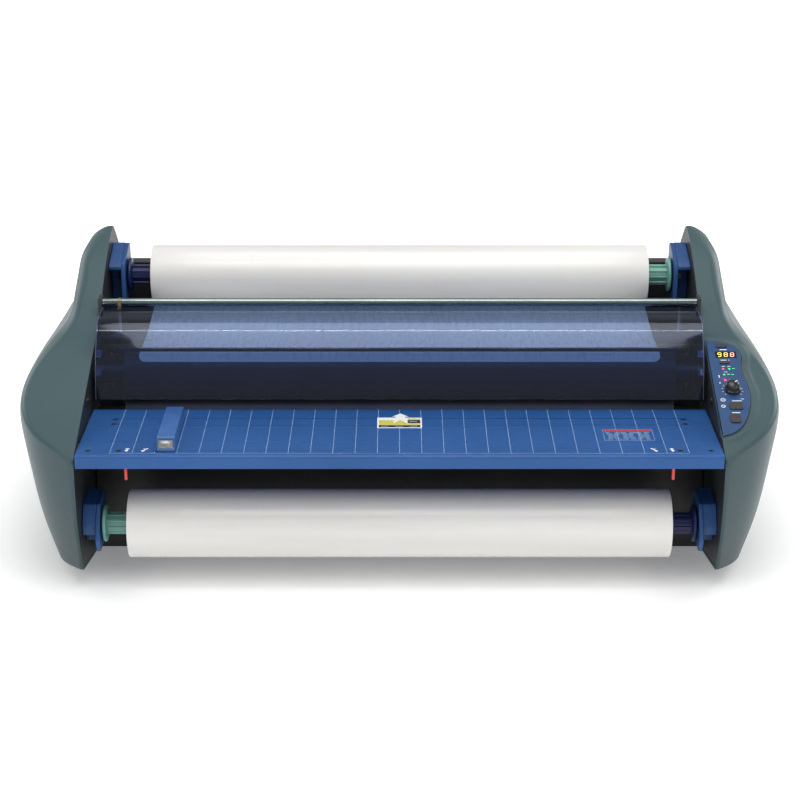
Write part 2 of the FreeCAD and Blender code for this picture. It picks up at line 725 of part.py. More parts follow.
def power_inlet():
    """Inlet and switch housing in the rear sheet: a three-pin socket beside a rocker bay."""
    face = (REAR_Y, REAR_Y + 3)
    flange = block((INLET_X - 28, INLET_X + 28), face, (INLET_Z - 18, INLET_Z + 18))
    body = block((INLET_X - 24, INLET_X + 24), (REAR_Y - 28, REAR_Y), (INLET_Z - 14, INLET_Z + 14))
    housing = joined(flange, body)
    socket = block((INLET_X - 21, INLET_X + 4), (REAR_Y - 17, REAR_Y + 4),
                   (INLET_Z - 8.5, INLET_Z + 8.5))
    bay = block((ROCKER_X - 7, ROCKER_X + 7), (REAR_Y - 12, REAR_Y + 4),
                (INLET_Z - 10.5, INLET_Z + 10.5))
    housing = housing.cut(socket).cut(bay)
    pins = [block((INLET_X - 8.5 + dx - 1, INLET_X - 8.5 + dx + 1), (REAR_Y - 17, REAR_Y - 3),
                  (INLET_Z + dz - 2, INLET_Z + dz + 2)) for dx, dz in ((-7, -1), (0, 3), (7, -1))]
    return joined(housing, *pins)


def power_rocker():
    """Rocker in its off position, tilted about an axis along X."""
    y = REAR_Y - 1.0
    rocker = profile([(y - 4, INLET_Z - 8), (y + 4.6, INLET_Z - 9.4), (y + 2.4, INLET_Z),
                      (y + 4.6, INLET_Z + 9.4), (y - 4, INLET_Z + 8)],
                     ROCKER_X - 6.5, ROCKER_X + 6.5)
    rocker.rotate(vec(ROCKER_X, y, INLET_Z), X_AXIS, -ROCKER_TILT)
    return rocker


def power_supply():
    case = block((60, 250), (250, 350), (FOOT_HEIGHT + PAN_SHEET, 62))
    coil = block((85, 150), (270, 330), (62, 84))
    terminal = block((170, 235), (262, 280), (62, 74))
    return joined(case, coil, terminal)


# ---------------------------------------------------------------- control panel
SLOPE = math.degrees(math.atan2(SLOPE_HEAD[1] - SLOPE_FOOT[1], SLOPE_HEAD[0] - SLOPE_FOOT[0]))
PANEL_ORIGIN_Z = SLOPE_FOOT[1] + (PANEL_CENTRE[1] - SLOPE_FOOT[0]) * math.tan(math.radians(SLOPE))
PANEL_PLACE = FreeCAD.Placement(vec(PANEL_CENTRE[0], PANEL_CENTRE[1], PANEL_ORIGIN_Z),
                                FreeCAD.Rotation(X_AXIS, SLOPE))
# Keys: centre x and y on the machine, width and depth, corner radius.
KEYS = {
    "menu_key": (390.3, 190.5, 14.0, 6.0, 2.9),
    "heat_key": (390.2, 161.0, 12.0, 4.6, 2.2),
    "run_key": (394.0, 86.6, 15.5, 11.5, 2.5),
    "stop_key": (390.5, 66.0, 12.5, 14.0, 2.5),
}
KNOB_AT = (393.4, 114.5)
KNOB_R = 9.4
DISPLAY_AT = (393.6, 175.5)
LAMPS = ((387.0, 150.6), (394.5, 150.6), (387.0, 140.6), (387.0, 131.1))
PANEL_OUTLINE = ((375.0, 199.0), (391.0, 198.5), (404.0, 192.0), (411.5, 176.0), (408.5, 155.0),
                 (411.0, 130.0), (413.0, 107.0), (408.0, 80.0), (397.0, 55.0), (385.0, 43.5),
                 (375.0, 40.0))


def on_panel(place):
    """Machine x, y of a spot on the slope to panel coordinates."""
    return (place[0] - PANEL_CENTRE[0],
            (place[1] - PANEL_CENTRE[1]) / math.cos(math.radians(SLOPE)))


def placed(shape):
    moved = shape.copy()
    moved.transformShape(PANEL_PLACE.toMatrix())
    return moved


def pad(place, width, depth, corner, low, high):
    """Rounded rectangle in panel coordinates."""
    u, v = on_panel(place)
    solid = block((u - width / 2, u + width / 2), (v - depth / 2, v + depth / 2), (low, high))
    upright = [edge for edge in solid.Edges
               if abs(edge.tangentAt(edge.FirstParameter).z) > 0.99]
    return solid.makeFillet(corner, upright)


def panel_blank(low, high, shrink):
    points = [vec(*on_panel(place), low) for place in PANEL_OUTLINE]
    wire = Part.Wire([spline(points), line(points[-1], points[0])])
    face = Part.Face(wire)
    if shrink:
        face = face.makeOffset2D(-shrink).toNurbs().Faces[0]
    return face.extrude(vec(0, 0, high - low))


def control_panel():
    plate = panel_blank(0, PANEL_SHEET, 0)
    for x, y, width, depth, corner in KEYS.values():
        hole = pad((x, y), width + 2 * KEY_GAP, depth + 2 * KEY_GAP, corner, -1, 4)
        plate = plate.cut(hole)
    u, v = on_panel(KNOB_AT)
    plate = plate.cut(Part.makeCylinder(3.5, 6, vec(u, v, -1)))
    plate = plate.cut(pad(DISPLAY_AT, 25.0, 11.6, 1.0, -1, 4))
    for lamp in LAMPS:
        u, v = on_panel(lamp)
        plate = plate.cut(Part.makeCylinder(1.5, 6, vec(u, v, -1)))
    return placed(one(plate))


def panel_parts():
    write_node("control_panel", control_panel())
    display = pad(DISPLAY_AT, 25.0, 11.6, 1.0, -4.0, PANEL_SHEET - 0.3)
    write_node("display_window", placed(display))
    lamps = []
    for lamp in LAMPS:
        u, v = on_panel(lamp)
        stem = Part.makeCylinder(1.5, 5, vec(u, v, -4.0))
        dome = Part.makeSphere(1.5, vec(u, v, 1.0))
        lamps.append(placed(joined(stem, dome)))
    write_node("status_lamps", *lamps)
    u, v = on_panel(KNOB_AT)
    skirt = Part.makeCylinder(KNOB_R, 3.0, vec(u, v, PANEL_SHEET + 0.4))
    grip = Part.makeCone(KNOB_R - 1.4, KNOB_R - 2.2, 8.0, vec(u, v, PANEL_SHEET + 3.4))
    shaft = Part.makeCylinder(3.0, 9.0, vec(u, v, PANEL_SHEET + 0.4 - 9))
    write_node("speed_knob", placed(joined(skirt, grip, shaft)))
    for name, (x, y, width, depth, corner) in KEYS.items():
        key = pad((x, y), width, depth, corner, -2.0, PANEL_SHEET + 1.4)
        write_node(name, placed(key))
    board = block((-17.0, 9.0), (-72.0, 78.0), (-11.6, -10.0))
    write_node("control_board", placed(board))


def side_covers():
    """The right cover carries the control panel over a window in its slope."""
    cover = side_cover()
    window = placed(panel_blank(-9, 6, 3.0))
    write_node("left_side_cover", mirrored(cover))
    write_node("right_side_cover", one(cover.cut(window)))


# ---------------------------------------------------------------- build
def build():
    side_covers()
    write_node("left_side_frame", side_frame(-1))
    write_node("right_side_frame", side_frame(1))
    write_node("base_pan", base_pan())
    write_node("front_lower_panel", front_lower_panel())
    write_node("rear_panel", rear_panel())
    write_node("rear_bridge", rear_bridge())
    write_node("cross_rods", *cross_rods())
    write_node("hinge_brackets", hinge_bracket(-1), hinge_bracket(1))
    write_node("rubber_feet", *rubber_feet())
    write_node("frame_screws", *frame_screws())
    write_node("drive_motor", drive_motor())
    write_node("fan_frames", *fan_frames())
    write_node("left_fan_rotor", fan_rotor(-1))
    write_node("right_fan_rotor", fan_rotor(1))
    write_node("power_inlet", power_inlet())
    write_node("power_rocker", power_rocker())
    write_node("power_supply", power_supply())
    write_node("tube_heaters", *tube_heaters())
    rollers()
    gears()
    film_roll("upper", UPPER_ROLL)
    film_roll("lower", LOWER_ROLL)
    roll_arms()
    write_node("feed_tray", feed_tray())
    write_node("film_markers", *film_markers())
    write_node("edge_guide", edge_guide())
    shield_parts()
    panel_parts()


build()
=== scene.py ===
import math

import bmesh
import bpy
import numpy as np
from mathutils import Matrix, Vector
from mathutils.geometry import delaunay_2d_cdt


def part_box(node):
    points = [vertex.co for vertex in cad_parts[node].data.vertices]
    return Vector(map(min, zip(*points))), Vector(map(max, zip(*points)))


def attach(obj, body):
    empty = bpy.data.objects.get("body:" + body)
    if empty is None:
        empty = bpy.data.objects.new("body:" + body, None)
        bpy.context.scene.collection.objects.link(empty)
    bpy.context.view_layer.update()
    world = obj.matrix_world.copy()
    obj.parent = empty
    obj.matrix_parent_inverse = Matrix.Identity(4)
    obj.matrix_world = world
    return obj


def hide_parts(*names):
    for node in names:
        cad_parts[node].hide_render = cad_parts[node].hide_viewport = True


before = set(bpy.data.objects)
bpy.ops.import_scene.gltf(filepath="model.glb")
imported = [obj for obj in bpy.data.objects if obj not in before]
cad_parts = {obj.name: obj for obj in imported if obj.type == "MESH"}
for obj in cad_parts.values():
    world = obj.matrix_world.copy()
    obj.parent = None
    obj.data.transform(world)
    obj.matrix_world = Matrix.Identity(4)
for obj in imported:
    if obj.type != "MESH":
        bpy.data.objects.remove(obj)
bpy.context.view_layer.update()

# Machine coordinates, in millimetres: x to the operator's right, y back from the feed tray's
# front edge, z up from the table. piece() turns them into the frame's metres.
MM = 0.001
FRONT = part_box("feed_tray")[0].y


def machine_box(node):
    """Lowest and highest corner of a CAD node, in machine millimetres."""
    return [Vector((corner.x, corner.y - FRONT, corner.z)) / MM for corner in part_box(node)]


def axis_of(node):
    """Centre y and z, radius and half-length of a round node that lies along X."""
    low, high = machine_box(node)
    return (low.y + high.y) / 2, (low.z + high.z) / 2, (high.z - low.z) / 2, high.x


SIDES = (("left", -1), ("right", 1))

# Edges that turn by more than this, in degrees, are sharp and get a rounding.
SHARP_ANGLE = 38


# ================================================================ mesh helpers
def piece(name, body, shape, look, stands_for=(), closed=True):
    """An object from (points, faces) in machine millimetres, riding on a body."""
    points, faces = shape
    mesh = bpy.data.meshes.new(name)
    mesh.from_pydata([(x * MM, FRONT + y * MM, z * MM) for x, y, z in points], [], faces)
    if closed:
        work = bmesh.new()
        work.from_mesh(mesh)
        bmesh.ops.recalc_face_normals(work, faces=work.faces)
        work.to_mesh(mesh)
        work.free()
    mesh.polygons.foreach_set("use_smooth", [True] * len(mesh.polygons))
    mesh.set_sharp_from_angle(angle=math.radians(SHARP_ANGLE))
    mesh.materials.append(look)
    made = bpy.data.objects.new(name, mesh)
    bpy.context.scene.collection.objects.link(made)
    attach(made, body)
    if stands_for:
        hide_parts(*stands_for)
    return made


def soften(made, width, segments=2):
    """Rounds a piece's sharp edges; width in millimetres."""
    bevel = made.modifiers.new("rounded_edges", "BEVEL")
    bevel.width = width * MM
    bevel.segments = segments
    bevel.limit_method = "ANGLE"
    bevel.angle_limit = math.radians(SHARP_ANGLE)
    bevel.harden_normals = True


def bake(made):
    """Applies a piece's modifiers to its mesh."""
    graph = bpy.context.evaluated_depsgraph_get()
    made.data = bpy.data.meshes.new_from_object(made.evaluated_get(graph))
    made.modifiers.clear()


def together(*shapes):
    """Several closed shapes as one mesh."""
    points, faces = [], []
    for more_points, more_faces in shapes:
        start = len(points)
        points += list(more_points)
        faces += [tuple(start + index for index in face) for face in more_faces]
    return points, faces


def flipped(shape):
    """The same shape on the other side of the machine's middle."""
    points, faces = shape
    return [(-x, y, z) for x, y, z in points], [tuple(reversed(face)) for face in faces]


def on_side(side, shape):
    """A right-hand shape on its side of the machine: 1 is right, -1 is left."""
    return shape if side > 0 else flipped(shape)


def band(here, there, count):
    """Quads between two rings of count points, from the index of each ring's first point."""
    return [(here + i, here + (i + 1) % count, there + (i + 1) % count, there + i)
            for i in range(count)]


def between(low_ring, high_ring):
    """The closed solid between two rings of equally many points."""
    count = len(low_ring)
    faces = [tuple(range(count)), tuple(range(count, 2 * count))] + band(0, count, count)
    return low_ring + high_ring, faces


def normals_of(line):
    """Unit normals along a line of points."""
    tangent = np.gradient(line, axis=0)
    tangent /= np.hypot(*tangent.T)[:, None]
    return np.stack([tangent[:, 1], -tangent[:, 0]], 1)


def prism(outline, x0, x1):
    """A (y, z) outline drawn out from x0 to x1."""
    return between(*[[(x, y, z) for y, z in outline] for x in (x0, x1)])


def circle(radius, count):
    """Points (u, v) round a circle."""
    turns = [2 * math.pi * i / count for i in range(count)]
    return [(radius * math.cos(turn), radius * math.sin(turn)) for turn in turns]


def turned(profile, y, z, count=96, ring=False, shape=None):
    """(x, radius) pairs turned about an X axis; a ring joins the last pair to the first."""
    points = []
    for x, radius in profile:
        for step in range(count):
            angle = 2 * math.pi * step / count
            away = radius if shape is None else shape(x, radius, angle)
            points.append((x, y + away * math.cos(angle), z + away * math.sin(angle)))
    rows = len(profile)
    faces = []
    for row in range(rows if ring else rows - 1):
        faces += band(row * count, (row + 1) % rows * count, count)
    if not ring:
        faces += [tuple(range(count)), tuple(range((rows - 1) * count, rows * count))]
    return points, faces


def natural_spline(points, count=60):
    """Points along a smooth curve through the given ones."""
    knots = np.array(points, float)
    steps = np.hypot(*np.diff(knots, axis=0).T)
    at = np.concatenate([[0.0], np.cumsum(steps)])
    size = len(at)
    matrix, right = np.eye(size), np.zeros((size, 2))
    slopes = np.diff(knots, axis=0) / steps[:, None]
    for i in range(1, size - 1):
        matrix[i, i - 1:i + 2] = steps[i - 1], 2 * (steps[i - 1] + steps[i]), steps[i]
        right[i] = 6 * (slopes[i] - slopes[i - 1])
    bend = np.linalg.solve(matrix, right)
    where = np.linspace(0, at[-1], count)
    span = np.clip(np.searchsorted(at, where, "right") - 1, 0, size - 2)
    width = steps[span][:, None]
    left = (where - at[span])[:, None]
    rest = width - left
    return (bend[span] * rest ** 3 / (6 * width) + bend[span + 1] * left ** 3 / (6 * width)
            + (knots[span] / width - bend[span] * width / 6) * rest
            + (knots[span + 1] / width - bend[span + 1] * width / 6) * left)


def clamped_spline(poles, count=700):
    """Points along the cubic spline that starts and ends on its outer poles."""
    poles = np.array(poles, float)
    degree, size = 3, len(poles)
    knots = np.concatenate([[0] * degree, np.arange(size - degree + 1), [size - degree] * degree])
    where = np.linspace(0, size - degree - 1e-9, count)
    basis = [((knots[i] <= where) & (where < knots[i + 1])).astype(float)
             for i in range(size + degree)]
    for order in range(1, degree + 1):
        for i in range(size + degree - order):
            value = 0.0
            if knots[i + order] > knots[i]:
                value = (where - knots[i]) / (knots[i + order] - knots[i]) * basis[i]
            if knots[i + order + 1] > knots[i + 1]:
                value = value + ((knots[i + order + 1] - where)
                                 / (knots[i + order + 1] - knots[i + 1]) * basis[i + 1])
            basis[i] = value
    return np.stack(basis[:size], 1) @ poles


# ================================================================ materials
class Look:
    """A material's nodes, made one at a time. Scales are per metre of the object."""

    def __init__(self, name):
        self.material = bpy.data.materials.new(name)
        self.material.use_nodes = True
        self.nodes = self.material.node_tree.nodes
        self.nodes.clear()
        self.output = self.node("ShaderNodeOutputMaterial")
        self.shader = self.node("ShaderNodeBsdfPrincipled")
        self.feed(self.output.inputs["Surface"], self.shader.outputs[0])
        self.place = self.node("ShaderNodeTexCoord").outputs["Object"]

    def feed(self, socket, value):
        """Links a socket to another socket, or sets its value."""
        if isinstance(value, bpy.types.NodeSocket):
            self.material.node_tree.links.new(value, socket)
        else:
            socket.default_value = value

    def node(self, kind, settings=(), **inputs):
        made = self.nodes.new(kind)
        for key, value in dict(settings).items():
            setattr(made, key, value)
        for key, value in inputs.items():
            self.feed(made.inputs[key.replace("_", " ")], value)
        return made

    def finish(self, **values):
        """Feeds the shader's inputs, by name."""
        for name, value in values.items():
            self.feed(self.shader.inputs[name.replace("_", " ")], value)

    def axes(self, vector):
        return self.node("ShaderNodeSeparateXYZ", Vector=vector).outputs

    def normal(self):
        return self.axes(self.node("ShaderNodeNewGeometry").outputs["Normal"])

    def stretched(self, scale, move=(0, 0, 0), place=None):
        return self.node("ShaderNodeMapping", Vector=place or self.place, Scale=scale,
                         Location=move).outputs["Vector"]

    def noise(self, scale, detail=4.0, place=None):
        return self.node("ShaderNodeTexNoise", Vector=place or self.place, Scale=scale,
                         Detail=detail).outputs["Fac"]

    def ramp(self, amount, dark, light):
        """A colour between two stops, each (where, colour)."""
        made = self.node("ShaderNodeValToRGB", Fac=amount)
        for spot, (where, colour) in zip(made.color_ramp.elements, (dark, light)):
            spot.position = where
            spot.color = (*colour, 1.0)
        return made.outputs["Color"]

    def mapped(self, amount, source, target):
        """An amount moved from one (low, high) range to another."""
        return self.node("ShaderNodeMapRange", Value=amount, From_Min=source[0],
                         From_Max=source[1], To_Min=target[0], To_Max=target[1]).outputs["Result"]

    def scaled(self, noise, low, high):
        """Noise spread over a range: most of it lies between 0.3 and 0.7."""
        return self.mapped(noise, (0.3, 0.7), (low, high))

    def maths(self, operation, first, second=0.0):
        made = self.node("ShaderNodeMath", {"operation": operation})
        self.feed(made.inputs[0], first)
        self.feed(made.inputs[1], second)
        return made.outputs["Value"]

    def near(self, value, middle, half_width):
        """1 where value is within half_width of middle."""
        off = self.maths("ABSOLUTE", self.maths("SUBTRACT", value, middle))
        return self.maths("LESS_THAN", off, half_width)

    def blend(self, amount, first, second):
        """From the first colour to the second; a colour is a socket or (r, g, b)."""
        made = self.node("ShaderNodeMix", {"data_type": "RGBA"})
        self.feed(made.inputs[0], amount)
        for socket, colour in ((made.inputs[6], first), (made.inputs[7], second)):
            self.feed(socket, (*colour, 1.0) if isinstance(colour, tuple) else colour)
        return made.outputs[2]

    def bumped(self, height, strength, distance=0.0003):
        bump = self.node("ShaderNodeBump", Height=height, Strength=strength, Distance=distance)
        self.finish(Normal=bump.outputs["Normal"])


def surface(name, dark, light, roughness, spread=0.05, mottle=14.0, grain=900.0, bump=0.12,
            stretch=None, **fixed):
    """A finish whose tone, gloss and texture all vary a little over the surface."""
    look = Look(name)
    place = look.stretched(stretch) if stretch else look.place
    patches = look.noise(mottle, 5.0, place)
    fine = look.noise(grain, 2.0, place)
    look.bumped(fine, bump)
    look.finish(Base_Color=look.ramp(patches, (0.32, dark), (0.68, light)),
                Roughness=look.scaled(fine, roughness - spread, roughness + spread), **fixed)
    return look.material


# The tray's grid, in metres: half of a line's width, and the front line's place. GRID_REACH is
# the number of inches on each side of the middle.
INCH = 0.0254
GRID_REACH = 13
GRID_LINE = 0.00027
GRID_FRONT = FRONT + 0.0085


def tray_look():
    """Blue powder coat printed with a one-inch grid."""
    look = Look("tray_paint")
    axes = look.axes(look.place)
    inches = look.maths("ADD", look.maths("DIVIDE", axes["X"], INCH), 0.5)
    line = look.near(look.maths("FRACT", inches), 0.5, GRID_LINE / INCH)
    line = look.maths("MULTIPLY", line, look.maths("GREATER_THAN", axes["Y"], GRID_FRONT))
    line = look.maths("MAXIMUM", line, look.near(axes["Y"], GRID_FRONT, 1.2 * GRID_LINE))
    reach = GRID_REACH * INCH + GRID_LINE
    line = look.maths("MULTIPLY", line, look.near(axes["X"], 0.0, reach))
    line = look.maths("MULTIPLY", line, look.maths("GREATER_THAN", look.normal()["Z"], 0.8))
    worn = look.maths("MULTIPLY", line, look.scaled(look.noise(220.0, 3.0), 0.55, 0.95))
    paint = look.ramp(look.noise(7.0, 5.0), (0.3, (0.016, 0.077, 0.245)),
                      (0.7, (0.022, 0.093, 0.285)))
    fine = look.noise(750.0, 2.0)
    look.bumped(fine, 0.10)
    look.finish(Base_Color=look.blend(worn, paint, (0.40, 0.53, 0.74)),
                Roughness=look.scaled(fine, 0.34, 0.46), Specular_IOR_Level=0.3)
    return look.material


def cover_look():
    """Grey-green moulded plastic with a fine spark texture, darker towards the bottom by painted
    shade.
    """
    look = Look("cover_plastic")
    # Painted shade: the colour darkens towards the foot, from 0.22 m down to 0.02 m, in place of the
    # light that falls off low on the covers.
    foot = look.mapped(look.axes(look.place)["Z"], (0.02, 0.22), (0.55, 0.0))
    plastic = look.ramp(look.noise(5.0, 5.0), (0.32, (0.044, 0.080, 0.089)),
                        (0.68, (0.054, 0.094, 0.104)))
    fine = look.noise(1500.0, 2.0)
    look.bumped(fine, 0.10)
    look.finish(Base_Color=look.blend(foot, plastic, (0.012, 0.026, 0.030)),
                Roughness=look.scaled(fine, 0.33, 0.43), Specular_IOR_Level=0.25)
    return look.material


def film_look(name, centre):
    """Wound film: glossy cream layers, with the layers' edges as rings on the ends."""
    look = Look(name)
    y, z = centre
    place = look.stretched((1, 1, 1), (0, -(FRONT + y * MM), -z * MM))
    axes = look.axes(place)
    away = look.maths("SQRT", look.maths("ADD", look.maths("MULTIPLY", axes["Y"], axes["Y"]),
                                         look.maths("MULTIPLY", axes["Z"], axes["Z"])))
    layers = look.noise(2600.0, 2.0, look.node("ShaderNodeCombineXYZ", X=away).outputs[0])
    bands = look.noise(34.0, 5.0, look.stretched((0.06, 1.0, 1.0), place=place))
    end = look.maths("GREATER_THAN", look.maths("ABSOLUTE", look.normal()["X"]), 0.7)
    side = look.ramp(bands, (0.35, (0.67, 0.655, 0.63)), (0.65, (0.73, 0.72, 0.695)))
    rings = look.ramp(layers, (0.35, (0.55, 0.58, 0.54)), (0.65, (0.86, 0.86, 0.82)))
    height = look.maths("ADD", look.maths("MULTIPLY", layers, end),
                        look.maths("MULTIPLY", bands, 0.02))
    look.bumped(height, 0.10)
    look.finish(Base_Color=look.blend(end, side, rings), Roughness=look.scaled(bands, 0.28, 0.36),
                Coat_Weight=0.4, Coat_Roughness=0.12, Subsurface_Weight=0.06,
                Subsurface_Scale=0.004)
    return look.material


def shield_look():
    """Smoked blue acrylic: tinted where it is looked through, mirror-like at a slant."""
    look = Look("smoked_acrylic")
    tint = look.ramp(look.noise(3.0, 2.0), (0.3, (0.53, 0.66, 0.90)), (0.7, (0.55, 0.68, 0.92)))
    clear = look.node("ShaderNodeBsdfTransparent", Color=tint)
    look.bumped(look.noise(6.0, 2.0, look.stretched((0.25, 2.0, 2.0))), 0.03, 0.003)
    look.finish(Base_Color=(0.006, 0.008, 0.018, 1.0), IOR=2.6,
                Roughness=look.scaled(look.noise(40.0, 3.0), 0.03, 0.08))
    slant = look.node("ShaderNodeLayerWeight", Blend=0.5).outputs["Facing"]
    rise = look.maths("MULTIPLY", look.maths("POWER", slant, 5.0), 1.3)
    share = look.maths("MINIMUM", look.maths("ADD", rise, 0.18), 1.0)
    mixed = look.node("ShaderNodeMixShader")
    for socket, value in zip(mixed.inputs, (share, clear.outputs[0], look.shader.outputs[0])):
        look.feed(socket, value)
    look.feed(look.output.inputs["Surface"], mixed.outputs[0])
    return look.material


def glowing(name, colour, strength):
    """A lit lamp or display segment, a little uneven like a diffused LED."""
    look = Look(name)
    hot = tuple(min(1.0, part * 1.5 + 0.05) for part in colour)
    tone = look.ramp(look.noise(900.0, 2.0), (0.3, colour), (0.7, hot))
    look.finish(Base_Color=tone, Emission_Color=tone, Emission_Strength=strength, Roughness=0.3)
    return look.material


COVER = cover_look()
TRAY = tray_look()
FRAME = surface("frame_paint", (0.012, 0.014, 0.015), (0.022, 0.025, 0.026), 0.50, 0.08,
                grain=1100.0, bump=0.25)
PAN = surface("pan_paint", (0.008, 0.008, 0.010), (0.014, 0.014, 0.016), 0.45, 0.08,
              grain=900.0, bump=0.2)
ARM = surface("arm_plastic", (0.016, 0.062, 0.190), (0.022, 0.078, 0.230), 0.38, 0.06,
              mottle=30.0, grain=1300.0, bump=0.12, Specular_IOR_Level=0.35)
PLUG_BLUE = surface("plug_blue", (0.007, 0.013, 0.066), (0.011, 0.018, 0.085), 0.30, 0.06,
                    mottle=60.0, grain=1500.0, bump=0.08, Specular_IOR_Level=0.3)
PLUG_GREEN = surface("plug_green", (0.130, 0.330, 0.275), (0.175, 0.400, 0.335), 0.32, 0.06,
                     mottle=60.0, grain=1500.0, bump=0.08, Subsurface_Weight=0.05,
                     Subsurface_Scale=0.003)
CARD = surface("core_card", (0.30, 0.21, 0.12), (0.40, 0.29, 0.18), 0.85, 0.06, mottle=300.0,
               grain=1800.0, bump=0.4, stretch=(0.2, 1, 1))
SHIELD = shield_look()
CHROME = surface("polished_rod", (0.15, 0.19, 0.19), (0.20, 0.24, 0.23), 0.14, 0.04,
                 mottle=90.0, grain=700.0, bump=0.03, stretch=(0.1, 1, 1), Metallic=1.0)
STEEL = surface("turned_steel", (0.36, 0.36, 0.37), (0.48, 0.48, 0.49), 0.28, 0.08,
                mottle=300.0, grain=2500.0, bump=0.12, stretch=(1, 0.05, 0.05), Metallic=1.0)
DARK_STEEL = surface("dark_steel", (0.035, 0.037, 0.040), (0.060, 0.062, 0.066), 0.38, 0.08,
                     mottle=300.0, grain=2500.0, bump=0.12, stretch=(1, 0.05, 0.05),
                     Metallic=1.0)
ZINC = surface("zinc_plate", (0.42, 0.43, 0.42), (0.56, 0.56, 0.54), 0.34, 0.08,
               mottle=400.0, grain=2500.0, bump=0.15, Metallic=1.0)
DARK_SCREW = surface("blackened_screw", (0.010, 0.011, 0.013), (0.022, 0.023, 0.026), 0.35,
                     0.08, mottle=500.0, grain=2500.0, bump=0.2)
SILICONE = surface("silicone_rubber", (0.026, 0.020, 0.022), (0.038, 0.028, 0.030), 0.42, 0.06,
                   mottle=20.0, grain=800.0, bump=0.15)
GREY_RUBBER = surface("grey_rubber", (0.055, 0.055, 0.06), (0.08, 0.08, 0.085), 0.6, 0.08,
                      mottle=25.0, grain=800.0, bump=0.25)
NYLON = surface("gear_nylon", (0.62, 0.60, 0.52), (0.70, 0.68, 0.60), 0.48, 0.06,
                mottle=60.0, grain=1500.0, bump=0.12)
BRONZE = surface("sintered_bronze", (0.42, 0.26, 0.11), (0.56, 0.37, 0.17), 0.36, 0.08,
                 mottle=300.0, grain=2600.0, bump=0.3, Metallic=1.0)
BLACK_RUBBER = surface("foot_rubber", (0.012, 0.012, 0.012), (0.024, 0.024, 0.024), 0.8, 0.06,
                       mottle=90.0, grain=900.0, bump=0.35)
BLACK_PLASTIC = surface("black_plastic", (0.010, 0.010, 0.011), (0.020, 0.020, 0.021), 0.42,
                        0.07, mottle=60.0, grain=1500.0, bump=0.18)
KNOB_PLASTIC = surface("knob_plastic", (0.010, 0.011, 0.010), (0.018, 0.019, 0.017), 0.22,
                       0.05, mottle=200.0, grain=1800.0, bump=0.08)
KEY_PLASTIC = surface("key_plastic", (0.016, 0.013, 0.013), (0.030, 0.024, 0.024), 0.45, 0.07,
                      mottle=300.0, grain=1800.0, bump=0.2)
DISPLAY = surface("display_filter", (0.004, 0.003, 0.004), (0.010, 0.006, 0.008), 0.12, 0.04,
                  mottle=200.0, grain=1500.0, bump=0.02)
POLISHED_EDGE = surface("polished_acrylic_edge", (0.05, 0.065, 0.13), (0.09, 0.11, 0.20), 0.10, 0.04,
                        mottle=60.0, grain=1500.0, bump=0.04, Coat_Weight=0.6)
BRASS = surface("brass", (0.15, 0.13, 0.07), (0.24, 0.20, 0.11), 0.30, 0.06, mottle=200.0,
                grain=2200.0, bump=0.1, Metallic=1.0)
PANEL = surface("panel_overlay", (0.014, 0.054, 0.150), (0.019, 0.068, 0.185), 0.34, 0.05,
                mottle=22.0, grain=2600.0, bump=0.08, Specular_IOR_Level=0.35)
BOARD = surface("circuit_board", (0.010, 0.090, 0.040), (0.018, 0.140, 0.060), 0.4, 0.1,
                mottle=400.0, grain=1500.0, bump=0.2)
QUARTZ = surface("heater_quartz", (0.80, 0.78, 0.74), (0.92, 0.90, 0.86), 0.2, 0.05,
                 mottle=90.0, grain=900.0, bump=0.05)
MARKER = surface("marker_red", (0.52, 0.035, 0.030), (0.66, 0.060, 0.045), 0.35, 0.06,
                 mottle=200.0, grain=1600.0, bump=0.1)
GUIDE = surface("guide_plastic", (0.030, 0.100, 0.290), (0.040, 0.122, 0.340), 0.36, 0.06,
                mottle=40.0, grain=1500.0, bump=0.10)
SPRING_PLATE = surface("spring_plate", (0.48, 0.50, 0.52), (0.62, 0.63, 0.63), 0.24, 0.06,
                       mottle=200.0, grain=2200.0, bump=0.08, Metallic=1.0)
WHITE_INK = surface("white_ink", (0.70, 0.73, 0.76), (0.82, 0.84, 0.85), 0.55, 0.06,
                    mottle=500.0, grain=2600.0, bump=0.1)
PALE_INK = surface("pale_ink", (0.24, 0.33, 0.44), (0.34, 0.43, 0.52), 0.55, 0.06,
                   mottle=700.0, grain=2600.0, bump=0.1)
YELLOW_INK = surface("yellow_ink", (0.50, 0.47, 0.06), (0.62, 0.58, 0.09), 0.5, 0.06,
                     mottle=400.0, grain=2600.0, bump=0.1)
BLACK_INK = surface("black_ink", (0.008, 0.008, 0.008), (0.018, 0.018, 0.018), 0.5, 0.06,
                    mottle=400.0, grain=2600.0, bump=0.1)
RED_INK = surface("red_ink", (0.42, 0.03, 0.05), (0.54, 0.05, 0.07), 0.5, 0.06,
                  mottle=400.0, grain=2600.0, bump=0.1)
RED_LAMP = glowing("red_lamp", (0.85, 0.05, 0.05), 1.1)
GREEN_LAMP = glowing("green_lamp", (0.05, 0.55, 0.10), 0.7)
YELLOW_LAMP = glowing("yellow_lamp", (0.62, 0.62, 0.05), 1.1)
PINK_LAMP = glowing("pink_lamp", (0.90, 0.35, 0.32), 1.1)
AMBER_LAMP = glowing("amber_lamp", (0.62, 0.50, 0.12), 1.0)


